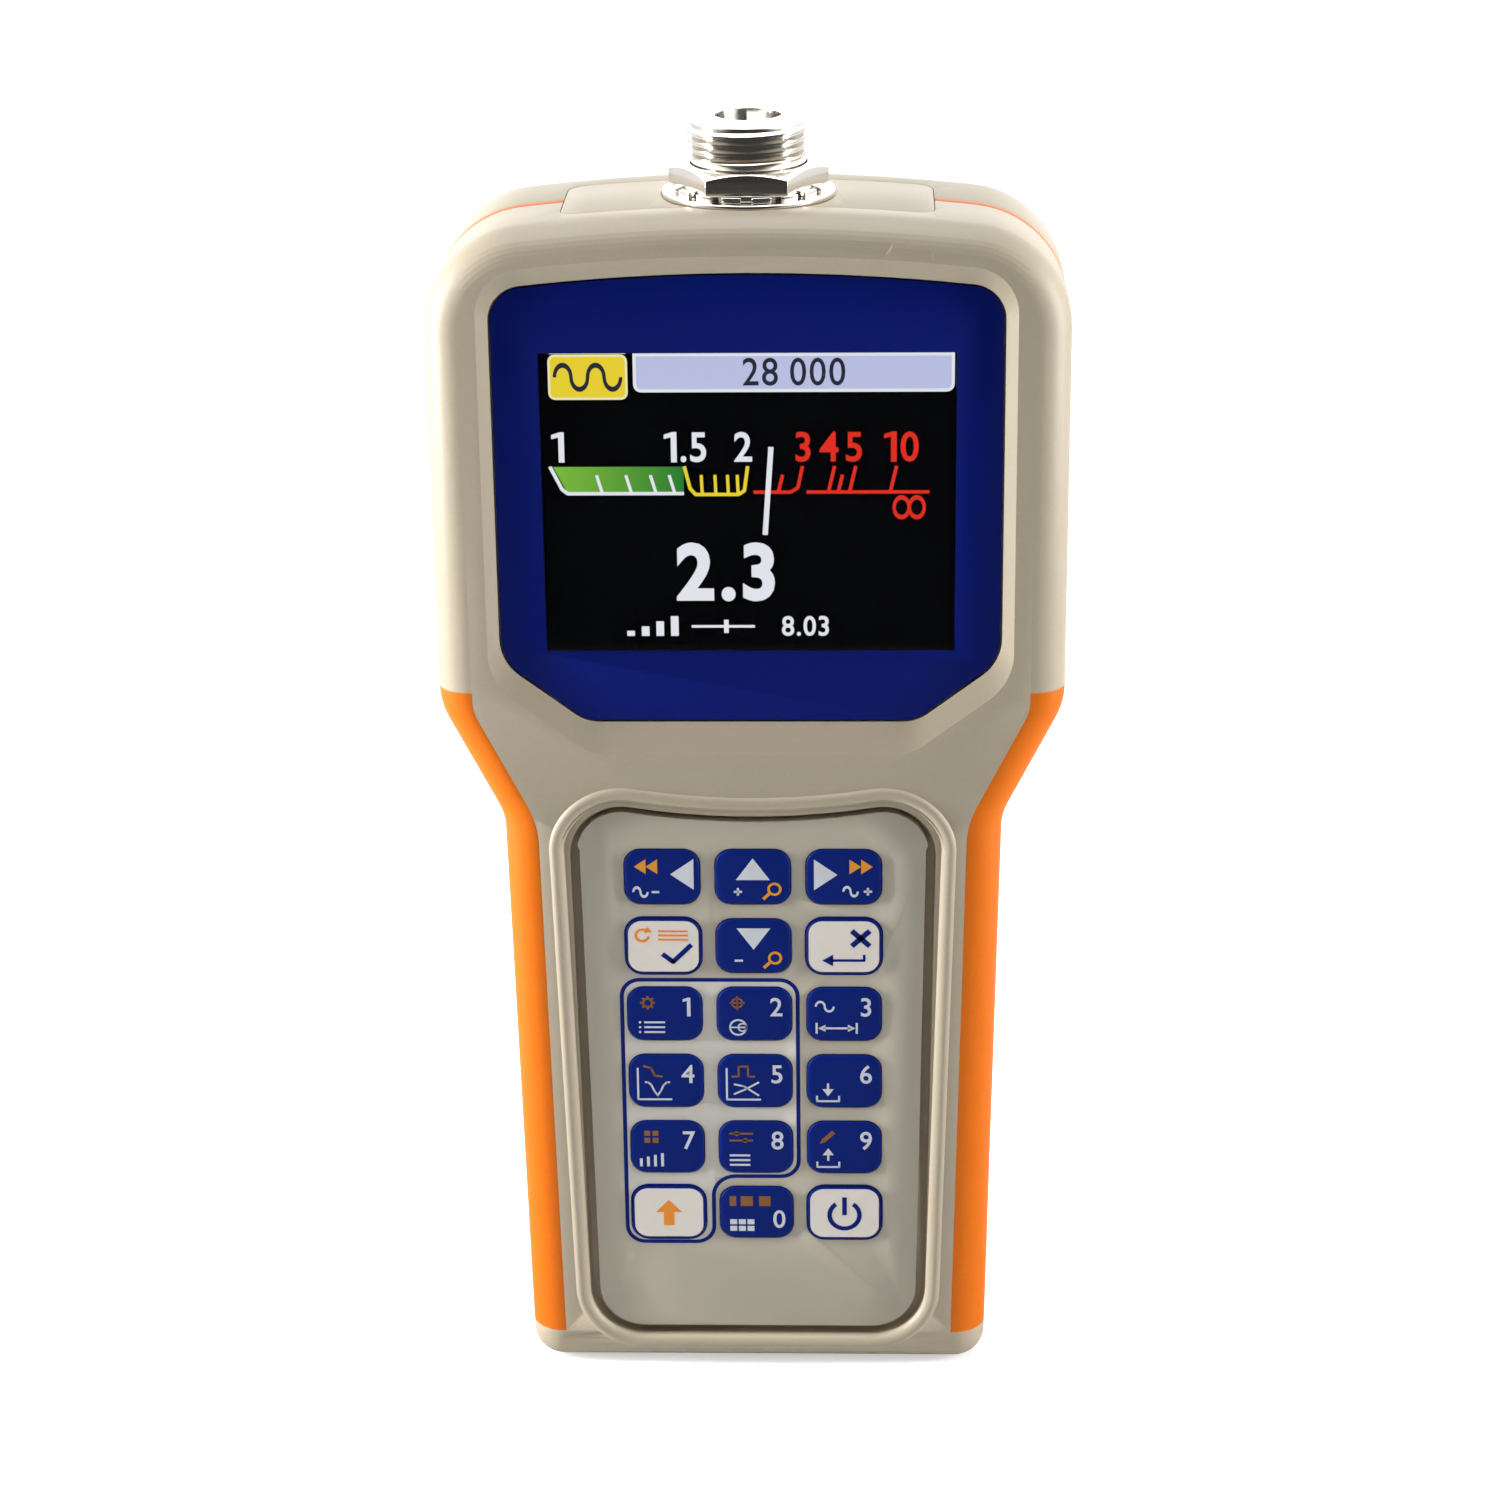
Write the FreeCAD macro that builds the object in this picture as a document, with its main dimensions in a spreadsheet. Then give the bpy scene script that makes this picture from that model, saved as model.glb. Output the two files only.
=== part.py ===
import FreeCAD, Part
import Sketcher
import math
import os

# Handheld antenna analyzer, standing on its foot.  Millimetres, +Z up along the handle,
# the display and keypad face -Y, and the origin is at the middle of the foot.

doc = FreeCAD.newDocument("analyzer")
sheet = doc.addObject("Spreadsheet::Sheet", "sizes")
Vector = FreeCAD.Vector

DRIVING_SIZES = {
    # casing heights, from the foot up: waist, then hip and display panel, screen, crown
    "waist_height": 81.4,
    "hip_rise": 15.8,
    "panel_rise": 14.25,
    "screen_border_below": 9.55,
    "screen_height": 39.6,
    "screen_border_above": 10.1,
    "panel_border_above": 7.4,
    # head widths, from the screen out
    "screen_width": 52.8,
    "screen_border_side": 5.95,
    "panel_border_side": 8.65,
    # handle widths, from the battery cover out
    "foot_boss_gap": 4.7,
    "foot_boss_border": 5.9,
    "handle_taper": 1.6,
    # casing roundings, depth and walls
    "head_crown_radius": 255.0,
    "head_corner_radius": 13.5,
    "hip_radius": 10.0,
    "waist_radius": 8.0,
    "foot_corner_radius": 4.0,
    "body_depth": 32.0,
    "edge_radius": 4.5,
    "wall": 2.4,
    "seam_gap": 0.1,
    "overcut": 1.0,
    # rubber grips
    "grip_skin": 1.2,
    "grip_reach": 4.7,
    "grip_bottom": 5.4,
    "grip_top_rise": 2.5,
    "strip_width": 1.6,
    # display panel and the dished rim round it
    "panel_crown_radius": 260.0,
    "panel_corner_radius": 4.3,
    "panel_hip_radius": 6.0,
    "panel_foot_radius": 5.0,
    "panel_foot_step": 10.85,
    "panel_foot_rise": 8.15,
    "panel_sink": 1.0,
    "panel_thickness": 1.0,
    "panel_gap": 0.25,
    "rim_side": 1.75,
    "rim_top": 2.6,
    "rim_bottom": 4.6,
    "shelf_thickness": 1.2,
    "shelf_margin": 3.0,
    # display module, its gasket, holder and flat flex
    "window_gap": 0.05,
    "module_side_border": 3.0,
    "module_end_border": 4.2,
    "module_thickness": 2.6,
    "module_gap": 0.2,
    "gasket_thickness": 0.3,
    "gasket_sight": 1.0,
    "holder_rim": 2.2,
    "holder_floor": 0.8,
    "flex_width": 24.4,
    "flex_thickness": 0.2,
    "flex_room": 1.0,
    # keypad
    "keypad_rise": 2.8,
    "keypad_bottom": 5.65,
    "keypad_border_waist": 9.55,
    "keypad_border_foot": 9.25,
    "keypad_top_radius": 6.0,
    "keypad_foot_radius": 6.5,
    "keypad_dip_radius": 102.0,
    "keypad_recess": 2.6,
    "keypad_sink": 0.6,
    "keypad_margin": 0.9,
    "keypad_floor": 1.6,
    "lip_width": 1.4,
    "lip_height": 0.4,
    "lip_chamfer": 0.36,
    "film_thickness": 0.3,
    "film_tail_width": 14.0,
    "film_tail_rise": 0.8,
    "dome_height": 0.15,
    "dome_radius": 2.9,
    "key_width": 10.0,
    "key_height": 7.8,
    "key_corner_radius": 2.2,
    "key_pitch_across": 12.06,
    "key_pitch_down": 9.98,
    "key_row_drop": 10.55,
    "key_gap": 0.12,
    "key_proud": 0.25,
    "key_travel": 0.35,
    "key_stop_gap": 0.05,
    # top plate
    "plate_width": 47.3,
    "plate_depth": 17.0,
    "plate_corner_radius": 2.5,
    "plate_step": 0.7,
    "plate_flange": 1.4,
    "plate_flange_thickness": 1.2,
    "plate_flange_room": 1.8,
    "spot_depth": 0.3,
    "spot_gap": 0.3,
    # antenna jack with its washers and nut
    "jack_height": 10.0,
    "jack_thread_radius": 7.94,
    "jack_thread_chamfer": 0.6,
    "jack_root_radius": 7.45,
    "jack_bore_radius": 4.25,
    "jack_bore_depth": 8.6,
    "jack_flange_radius": 10.0,
    "jack_flange_thickness": 2.0,
    "jack_tail_radius": 5.0,
    "jack_tail_length": 5.0,
    "jack_hole_gap": 0.1,
    "insulator_wall": 1.0,
    "insulator_rise": 1.2,
    "insulator_tail": 0.5,
    "contact_radius": 1.5,
    "contact_bore_radius": 0.83,
    "contact_bore_depth": 6.0,
    "contact_sink": 2.2,
    "contact_chamfer": 0.3,
    "contact_pin_radius": 0.6,
    "contact_pin_length": 4.0,
    "washer_gap": 0.05,
    "washer_radius": 11.1,
    "washer_thickness": 0.8,
    "lock_washer_radius": 9.8,
    "lock_washer_thickness": 0.7,
    "lock_tooth_count": 16,
    "lock_tooth_depth": 1.1,
    "lock_tooth_spacing": 1.4,
    "nut_across_flats": 17.8,
    "nut_thickness": 2.8,
    "nut_chamfer": 0.8,
    "nut_land": 0.2,
    "lead_radius": 0.5,
    # main board and what stands on it
    "board_face": 6.0,
    "board_thickness": 1.6,
    "board_border_head": 11.0,
    "board_border_handle": 10.4,
    "board_top_drop": 4.6,
    "board_bottom": 5.2,
    "board_neck_drop": 11.2,
    "board_neck_slope": 8.0,
    "jack_notch_gap": 0.5,
    "standoff_radius": 2.6,
    "upper_standoff_inset": 6.0,
    "upper_standoff_drop": 7.8,
    "lower_standoff_inset": 3.0,
    "lower_standoff_rise": 4.0,
    "board_screw_radius": 1.0,
    "board_screw_head_radius": 1.9,
    "board_screw_head": 1.4,
    "board_screw_length": 6.0,
    "board_screw_gap": 0.15,
    "shield_width": 44.0,
    "shield_height": 34.0,
    "shield_depth": 5.0,
    "shield_wall": 0.3,
    "shield_rise": 3.0,
    "chip_side": 12.0,
    "chip_thickness": 1.4,
    "chip_level": 40.0,
    "beeper_radius": 6.0,
    "beeper_depth": 3.2,
    "beeper_rise": 4.1,
    "beeper_hole_radius": 1.0,
    "beeper_hole_depth": 1.5,
    "socket_depth": 2.2,
    "socket_border": 1.5,
    "socket_slit_gap": 0.05,
    "usb_width": 7.7,
    "usb_depth": 3.9,
    "usb_length": 9.0,
    "usb_wall": 0.35,
    "usb_sink": 0.5,
    "usb_hole_gap": 0.3,
    "usb_tongue_thickness": 0.8,
    "usb_tongue_sink": 0.8,
    # case screws and their bosses
    "boss_radius": 3.3,
    "back_boss_radius": 3.9,
    "boss_inset": 5.8,
    "upper_boss_drop": 19.3,
    "lower_boss_rise": 8.8,
    "foot_boss_height": 8.6,
    "case_screw_radius": 1.4,
    "case_screw_head_radius": 2.6,
    "case_screw_head": 1.9,
    "case_screw_length": 20.0,
    "screw_gap": 0.3,
    "screw_sink": 3.4,
    "thread_gap": 0.02,
    "pilot_room": 0.5,
    # battery bay and its sliding cover
    "cell_radius": 7.15,
    "cell_length": 49.2,
    "cell_nub_radius": 2.7,
    "cell_nub": 1.3,
    "cell_gap": 0.35,
    "tray_wall": 1.2,
    "tray_bottom": 12.0,
    "contact_thickness": 0.4,
    "contact_margin": 1.4,
    "contact_tab_width": 2.6,
    "contact_tab_gap": 0.2,
    "spring_length": 4.2,
    "spring_radius": 3.2,
    "spring_wire": 0.6,
    "spring_turns": 2.0,
    "cover_border_side": 3.3,
    "cover_border_above": 5.3,
    "cover_thickness": 1.9,
    "cover_gap": 0.2,
    "tongue_width": 1.3,
    "tongue_thickness": 0.8,
    "tongue_gap": 0.15,
    "tongue_drop": 4.0,
    "rib_count": 6,
    "rib_spacing": 2.2,
    "rib_width": 20.0,
    "rib_radius": 0.45,
    "rib_drop": 8.0,
}


class Size:
    # A length that carries its number and the formula that the document keeps for it.

    def __init__(self, formula, value):
        self.formula = formula
        self.value = float(value)

    def __add__(self, other):
        other = as_size(other)
        return Size(f"({self.formula} + {other.formula})", self.value + other.value)

    def __radd__(self, other):
        return as_size(other) + self

    def __sub__(self, other):
        other = as_size(other)
        return Size(f"({self.formula} - {other.formula})", self.value - other.value)

    def __rsub__(self, other):
        return as_size(other) - self

    def __mul__(self, other):
        other = as_size(other)
        return Size(f"({self.formula} * {other.formula})", self.value * other.value)

    def __rmul__(self, other):
        return as_size(other) * self

    def __truediv__(self, other):
        other = as_size(other)
        return Size(f"({self.formula} / {other.formula})", self.value / other.value)

    def __neg__(self):
        return Size(f"(0 - {self.formula})", -self.value)

    def root(self):
        return Size(f"sqrt({self.formula})", math.sqrt(self.value))


def as_size(item):
    if isinstance(item, Size):
        return item
    return Size(f"({item})", item)


class Sizes:
    # The sheet's cells by name.
    pass


size = Sizes()
for row, (name, number) in enumerate(DRIVING_SIZES.items(), start=1):
    sheet.set(f"A{row}", name.replace("_", " "))
    sheet.set(f"B{row}", str(number))
    sheet.setAlias(f"B{row}", name)
    setattr(size, name, Size(f"sizes.{name}", number))
doc.recompute()

none = as_size(0)
nodes = {}


def keep(name, item):
    # The finished piece that gives a node its name and its file.
    item.Label = name
    nodes[name] = item
    return item


# ---------------------------------------------------------------- sketches

def unit(dx, dy):
    length = math.hypot(dx, dy)
    return dx / length, dy / length


def arc_centre(start, end, radius):
    # Centre of the arc from start to end: on the left of the way for a radius above 0.
    dx, dy = end[0] - start[0], end[1] - start[1]
    half = math.hypot(dx, dy) / 2
    rise = math.sqrt(radius * radius - half * half)
    ux, uy = unit(dx, dy)
    side = 1 if radius > 0 else -1
    return (start[0] + end[0]) / 2 - uy * rise * side, (start[1] + end[1]) / 2 + ux * rise * side


def directions(start, end, radius):
    # The way an edge leaves its start and the way it comes to its end.
    if radius is None:
        way = unit(end[0] - start[0], end[1] - start[1])
        return way, way
    cx, cy = arc_centre(start, end, radius)
    turn = 1 if radius > 0 else -1
    leave = unit(-(start[1] - cy) * turn, (start[0] - cx) * turn)
    arrive = unit(-(end[1] - cy) * turn, (end[0] - cx) * turn)
    return leave, arrive


def drive(sketch, kind, *items):
    # Adds a constraint whose last item is a Size and keeps its formula.
    *where, length = items
    index = sketch.addConstraint(Sketcher.Constraint(kind, *where, length.value))
    sketch.setExpression(f"Constraints[{index}]", length.formula)


def corner(x, y, radius=None, bulge=None):
    # A corner of an outline: its place, its rounding, and the radius of the edge that leaves it.
    return as_size(x), as_size(y), radius, bulge


def add_arc(sketch, centre, start, end, radius, side):
    # An arc from start to end, and its number with the ends that stand there.
    first, last = (start, end) if side > 0 else (end, start)
    a = math.atan2(first[1] - centre[1], first[0] - centre[0])
    b = math.atan2(last[1] - centre[1], last[0] - centre[0])
    circle = Part.Circle(Vector(*centre, 0), Vector(0, 0, 1), radius)
    number = sketch.addGeometry(Part.ArcOfCircle(circle, a, b + (2 * math.pi if b < a else 0)))
    return (number, 1, 2) if side > 0 else (number, 2, 1)


def rounding(place, before, after, radius):
    # Where a rounding at a corner begins and ends, its centre and the side that it turns to.
    turn = before[0] * after[1] - before[1] * after[0]
    bend = abs(math.atan2(turn, before[0] * after[0] + before[1] * after[1]))
    reach = radius * math.tan(bend / 2)
    side = 1 if turn > 0 else -1
    begin = place[0] - before[0] * reach, place[1] - before[1] * reach
    end = place[0] + after[0] * reach, place[1] + after[1] * reach
    centre = begin[0] - before[1] * radius * side, begin[1] + before[0] * radius * side
    return begin, end, centre, side


def draw_outline(sketch, corners):
    # Corners run counter-clockwise.  Each is a construction point that the sheet places; the
    # edges pass through those points and the roundings are tangent to the edges.
    count = len(corners)
    places = [(x.value, y.value) for x, y, radius, bulge in corners]
    ways = []
    for i, (x, y, radius, bulge) in enumerate(corners):
        ways.append(directions(places[i], places[(i + 1) % count], bulge and bulge.value))
    begins, ends, rounds = list(places), places[1:] + places[:1], [None] * count
    for i, (x, y, radius, bulge) in enumerate(corners):
        if radius is not None:
            rounds[i] = rounding(places[i], ways[i - 1][1], ways[i][0], radius.value)
            ends[i - 1], begins[i] = rounds[i][:2]
    points = []
    for i, (x, y, radius, bulge) in enumerate(corners):
        point = sketch.addGeometry(Part.Point(Vector(*places[i], 0)), True)
        drive(sketch, "DistanceX", -1, 1, point, 1, x)
        drive(sketch, "DistanceY", -1, 1, point, 1, y)
        points.append(point)
    edges = []
    for i, (x, y, radius, bulge) in enumerate(corners):
        if bulge is None:
            line = Part.LineSegment(Vector(*begins[i], 0), Vector(*ends[i], 0))
            edges.append((sketch.addGeometry(line), 1, 2))
            continue
        centre = arc_centre(places[i], places[(i + 1) % count], bulge.value)
        side = 1 if bulge.value > 0 else -1
        edges.append(add_arc(sketch, centre, begins[i], ends[i], abs(bulge.value), side))
        drive(sketch, "Radius", edges[-1][0], bulge if side > 0 else -bulge)
    for i, (x, y, radius, bulge) in enumerate(corners):
        before, after = edges[i - 1], edges[i]
        if radius is None:
            sketch.addConstraint(Sketcher.Constraint("Coincident", before[0], before[2], points[i], 1))
            sketch.addConstraint(Sketcher.Constraint("Coincident", after[0], after[1], points[i], 1))
            continue
        begin, end, centre, side = rounds[i]
        arc = add_arc(sketch, centre, begin, end, radius.value, side)
        sketch.addConstraint(Sketcher.Constraint("PointOnObject", points[i], 1, before[0]))
        sketch.addConstraint(Sketcher.Constraint("PointOnObject", points[i], 1, after[0]))
        sketch.addConstraint(Sketcher.Constraint("Tangent", before[0], before[2], arc[0], arc[1]))
        sketch.addConstraint(Sketcher.Constraint("Tangent", arc[0], arc[2], after[0], after[1]))
        drive(sketch, "Radius", arc[0], radius)
    if sketch.solve() != 0:
        raise RuntimeError(f"the sketch {sketch.Name} has no solution")


def origin_part(body, role):
    return next(item for item in body.Origin.OriginFeatures if item.Role == role)


def new_sketch(body, name, plane, level, corners):
    # The XZ plane's own normal points to -Y, so a level along Y is kept with its sign turned.
    sketch = body.newObject("Sketcher::SketchObject", name)
    sketch.AttachmentSupport = [(origin_part(body, plane), "")]
    sketch.MapMode = "FlatFace"
    height = -as_size(level) if plane == "XZ_Plane" else as_size(level)
    sketch.setExpression("AttachmentOffset.Base.z", height.formula)
    draw_outline(sketch, corners)
    sketch.Visibility = False
    return sketch


def standing_sketch(name, corners, level):
    # A sketch of its own that stands across Y.
    sketch = doc.addObject("Sketcher::SketchObject", name)
    sketch.Placement = FreeCAD.Placement(Vector(), FreeCAD.Rotation(Vector(1, 0, 0), 90))
    place(sketch, 0, level, 0)
    draw_outline(sketch, corners)
    return sketch


# ---------------------------------------------------------------- solids

def padded(name, plane, corners, level, length):
    body = doc.addObject("PartDesign::Body", name)
    pad = body.newObject("PartDesign::Pad", name + "_pad")
    pad.Profile = new_sketch(body, name + "_outline", plane, level, corners)
    pad.setExpression("Length", length.formula)
    body.Tip = pad
    doc.recompute()
    return body


def slab(name, corners, front, back):
    # A plate that stands upright, between two planes across Y.
    return padded(name, "XZ_Plane", corners, back, as_size(back) - front)


def deck(name, corners, low, high):
    # A plate that lies flat, between two heights.
    return padded(name, "XY_Plane", corners, low, as_size(high) - low)


def dress(body, kind, amount, wanted):
    # Rounds or chamfers the edges of a body that the test picks.
    base = body.Tip
    names = [f"Edge{i}" for i, edge in enumerate(base.Shape.Edges, start=1) if wanted(edge)]
    feature = body.newObject("PartDesign::" + kind, f"{body.Name}_{kind.lower()}")
    feature.Base = (base, names)
    feature.setExpression("Radius" if kind == "Fillet" else "Size", amount.formula)
    body.Tip = feature
    doc.recompute()
    return body


def on_plane(axis, *levels):
    # Picks the edges that lie whole in one of the planes across an axis.
    near = 0.001

    def wanted(edge):
        box = edge.BoundBox
        low, high = getattr(box, axis + "Min"), getattr(box, axis + "Max")
        return any(abs(low - level.value) < near and abs(high - level.value) < near for level in levels)
    return wanted


def place(item, x=0, y=0, z=0):
    for axis, distance in (("x", x), ("y", y), ("z", z)):
        item.setExpression(f"Placement.Base.{axis}", as_size(distance).formula)
    return item


def block(name, x, y, z):
    # A box from its low and high limit along each axis.
    item = doc.addObject("Part::Box", name)
    for prop, (low, high) in (("Length", x), ("Width", y), ("Height", z)):
        item.setExpression(prop, (as_size(high) - low).formula)
    return place(item, x[0], y[0], z[0])


def both_sides(half):
    # The low and high limit of something centred on the middle plane.
    return -as_size(half), as_size(half)


TURNS = {
    "Z": FreeCAD.Rotation(),
    "Y": FreeCAD.Rotation(Vector(1, 0, 0), -90),
    "X": FreeCAD.Rotation(Vector(0, 1, 0), 90),
}


def rod(name, axis, centre, radius, length):
    # A cylinder that grows from its centre point along +X, +Y or +Z.
    item = doc.addObject("Part::Cylinder", name)
    item.setExpression("Radius", as_size(radius).formula)
    item.setExpression("Height", as_size(length).formula)
    item.Placement = FreeCAD.Placement(Vector(), TURNS[axis])
    return place(item, *centre)


def prism(name, axis, sides, radius, length):
    # A regular prism at the origin that grows along +Y or +Z.
    item = doc.addObject("Part::Prism", name)
    item.Polygon = sides
    item.setExpression("Circumradius", radius.formula)
    item.setExpression("Height", length.formula)
    item.Placement = FreeCAD.Placement(Vector(), TURNS[axis])
    return item


def turned(name, profile, axis_x=0, axis_y=0):
    # A solid of revolution about an upright axis, from (radius, height) corners.
    body = doc.addObject("PartDesign::Body", name)
    sketch = new_sketch(body, name + "_profile", "XZ_Plane", none, profile)
    turn = body.newObject("PartDesign::Revolution", name + "_turn")
    turn.Profile = sketch
    turn.ReferenceAxis = (sketch, ["V_Axis"])
    turn.Angle = 360
    body.Tip = turn
    place(body, axis_x, axis_y)
    doc.recompute()
    return body


def cut(name, base, *tools):
    result = doc.addObject("Part::Cut", name)
    result.Base = base
    result.Tool = fuse(name + "_tools", *tools)
    return result


def fuse(name, *items):
    if len(items) == 1:
        return items[0]
    result = doc.addObject("Part::MultiFuse", name)
    result.Shapes = list(items)
    return result


def common(name, *items):
    result = doc.addObject("Part::MultiCommon", name)
    result.Shapes = list(items)
    return result


def group(name, *items):
    # Identical pieces that share one node, each still a solid of its own.
    result = doc.addObject("Part::Compound", name)
    result.Links = list(items)
    return result


# ---------------------------------------------------------------- places worked out from the sizes

# heights
hip_height = size.waist_height + size.hip_rise
panel_bottom = size.waist_height + size.panel_rise
screen_bottom = panel_bottom + size.screen_border_below
screen_middle = screen_bottom + size.screen_height / 2
panel_top = screen_bottom + size.screen_height + size.screen_border_above
body_height = panel_top + size.panel_border_above
keypad_top = size.waist_height + size.keypad_rise
key_top_row = keypad_top - size.key_row_drop
film_tail_low = key_top_row + size.key_height / 2 + size.film_tail_rise
flex_level = screen_bottom + size.holder_rim

# levels through the depth
front_face = size.lip_height - size.body_depth / 2
back_face = size.body_depth / 2
front_inside = front_face + size.wall
back_inside = back_face - size.wall
front_skin_middle = front_face + size.wall / 2
back_skin_middle = back_face - size.wall / 2
panel_front = front_face + size.panel_sink
panel_back = panel_front + size.panel_thickness
shelf_back = panel_back + size.shelf_thickness
module_front = panel_back + size.gasket_thickness
module_back = module_front + size.module_thickness
keypad_floor_front = front_face + size.keypad_recess
keypad_floor_back = keypad_floor_front + size.keypad_floor
overlay_front = front_face + size.keypad_sink
overlay_back = keypad_floor_front - size.film_thickness
board_front = -size.board_face
board_back = board_front + size.board_thickness
usb_back = board_back + size.usb_depth
screw_head_level = back_face - size.screw_sink
cover_inside = back_face - size.cover_thickness

# battery bay
cell_pitch = size.cell_radius + size.cell_gap
cell_axis_y = back_inside - cell_pitch
tray_half = 2 * cell_pitch
tray_floor = cell_axis_y - cell_pitch
tray_top = (size.tray_bottom + size.cell_length + size.cell_nub + size.spring_length
            + 2 * size.contact_thickness)
cover_half = tray_half + size.tray_wall + size.cover_border_side
tongue_half = cover_half + size.tongue_width
cover_top = tray_top + size.tray_wall + size.cover_border_above

# widths
panel_half = size.screen_width / 2 + size.screen_border_side
head_half = panel_half + size.panel_border_side
foot_boss_side = tongue_half + size.foot_boss_gap
foot_half = foot_boss_side + size.foot_boss_border
waist_half = foot_half + size.handle_taper
module_half = size.screen_width / 2 + size.module_side_border
module_half_height = size.screen_height / 2 + size.module_end_border
board_head_half = head_half - size.board_border_head
board_handle_half = foot_half - size.board_border_handle
board_neck = hip_height - size.board_neck_drop

# antenna jack, from the top plate down and up
inside_top = body_height - size.wall
flange_top = inside_top - size.plate_step
flange_low = flange_top - size.plate_flange_thickness
jack_shelf = flange_low - size.jack_flange_thickness
jack_tail_end = jack_shelf - size.jack_tail_length
insulator_end = jack_tail_end - size.insulator_tail
contact_pin_end = jack_tail_end - size.contact_pin_length
washer_seat = body_height - size.spot_depth
washer_top = washer_seat + size.washer_thickness
lock_washer_top = washer_top + size.lock_washer_thickness
nut_top = lock_washer_top + size.nut_thickness
jack_top = body_height + size.jack_height
jack_bore_end = jack_top - size.jack_bore_depth
spot_radius = size.washer_radius + size.spot_gap
washer_bore = size.jack_root_radius + size.washer_gap

# further than any face of the instrument
far = 2 * body_height


# ---------------------------------------------------------------- outlines

def casing_outline(inset, sideways=False):
    # The casing seen from the front, drawn in by an inset all round or only from the sides.
    hip_step = head_half - waist_half
    slope = (hip_step * hip_step + size.hip_rise * size.hip_rise).root()
    shift = none if sideways else inset * (slope - size.hip_rise) / hip_step
    crown = size.head_crown_radius - inset
    head = head_half - inset
    shoulder = body_height - size.head_crown_radius + (crown * crown - head * head).root()
    foot_radius = size.foot_corner_radius - inset
    if foot_radius.value <= 0:
        foot_radius = None
    foot = foot_half - inset
    waist = waist_half - inset
    waist_level, hip_level = size.waist_height + shift, hip_height + shift
    waist_radius, hip_radius = size.waist_radius + inset, size.hip_radius - inset
    head_radius = size.head_corner_radius - inset
    return [
        corner(foot, inset, foot_radius),
        corner(waist, waist_level, waist_radius),
        corner(head, hip_level, hip_radius),
        corner(head, shoulder, head_radius, crown),
        corner(-head, shoulder, head_radius),
        corner(-head, hip_level, hip_radius),
        corner(-waist, waist_level, waist_radius),
        corner(-foot, inset, foot_radius),
    ]


def panel_outline(side, top, bottom):
    # The display panel's outline, grown by its sides, its top and its foot.  The slopes between
    # the sides and the foot grow by the mean of the two.
    half = panel_half + side
    crown = size.panel_crown_radius + top
    shoulder = panel_top - size.panel_crown_radius + (crown * crown - half * half).root()
    step, rise = size.panel_foot_step, size.panel_foot_rise
    slope = (side + bottom) / 2 * (step * step + rise * rise).root()
    hip = panel_bottom + rise - (slope - side * rise) / step
    foot = panel_half - step + (slope - bottom * step) / rise
    low = panel_bottom - bottom
    return [
        corner(foot, low, size.panel_foot_radius + side),
        corner(half, hip, size.panel_hip_radius + side),
        corner(half, shoulder, size.panel_corner_radius + side, crown),
        corner(-half, shoulder, size.panel_corner_radius + side),
        corner(-half, hip, size.panel_hip_radius + side),
        corner(-foot, low, size.panel_foot_radius + side),
    ]


def keypad_outline(grow):
    # The keypad's outline: the sides taper to the foot and the top edge dips in the middle.
    top = waist_half - size.keypad_border_waist + grow
    foot = foot_half - size.keypad_border_foot + grow
    low, high = size.keypad_bottom - grow, keypad_top + grow
    return [
        corner(foot, low, size.keypad_foot_radius + grow),
        corner(top, high, size.keypad_top_radius + grow, grow - size.keypad_dip_radius),
        corner(-top, high, size.keypad_top_radius + grow),
        corner(-foot, low, size.keypad_foot_radius + grow),
    ]


def rectangle(half_x, half_y, middle_x=none, middle_y=none, radius=None):
    return [
        corner(middle_x + half_x, middle_y - half_y, radius),
        corner(middle_x + half_x, middle_y + half_y, radius),
        corner(middle_x - half_x, middle_y + half_y, radius),
        corner(middle_x - half_x, middle_y - half_y, radius),
    ]


def screen_rectangle(grow):
    return rectangle(size.screen_width / 2 + grow, size.screen_height / 2 + grow, none, screen_middle)


def module_rectangle(grow, radius=None):
    return rectangle(module_half + grow, module_half_height + grow, none, screen_middle, radius)


def plate_rectangle(grow):
    return rectangle(size.plate_width / 2 + grow, size.plate_depth / 2 + grow, none, none,
                     size.plate_corner_radius + grow)


# ---------------------------------------------------------------- casing

def casing_form(name, inset):
    # The whole closed casing, drawn in by an inset.  The outside has rounded rims, and the forms
    # within it have chamfers that keep the wall at its thickness across the rim.
    front, back = front_face + inset, back_face - inset
    body = slab(name, casing_outline(inset), front, back)
    rim = size.edge_radius - inset
    if inset is none:
        return dress(body, "Fillet", rim, on_plane("Y", front, back))
    return dress(body, "Chamfer", rim * (2 - math.sqrt(2)), on_plane("Y", front, back))


outer_form = casing_form("outer_form", none)
skin_form = casing_form("skin_form", size.grip_skin)
cavity_form = casing_form("cavity_form", size.wall)


def make_grips():
    # Each grip covers one side of the handle up to the head, and runs on as a thin strip along
    # the seam to the top plate.
    layer = cut("grip_layer", outer_form, skin_form)
    middle = slab("grip_middle", casing_outline(size.grip_reach, sideways=True), -far, far)
    edge = foot_half - size.grip_reach
    strip_end = size.plate_width / 2 + size.seam_gap
    for name, side in (("left_grip", -1), ("right_grip", 1)):
        handle = block(name + "_handle", (-far, -edge) if side < 0 else (edge, far), (-far, far),
                       (size.grip_bottom, hip_height + size.grip_top_rise))
        wrap = cut(name + "_wrap", handle, middle)
        strip = block(name + "_strip", (-far, -strip_end) if side < 0 else (strip_end, far),
                      both_sides(size.strip_width / 2), (size.waist_height, far))
        keep(name, common(name, layer, fuse(name + "_zone", wrap, strip)))


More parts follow.
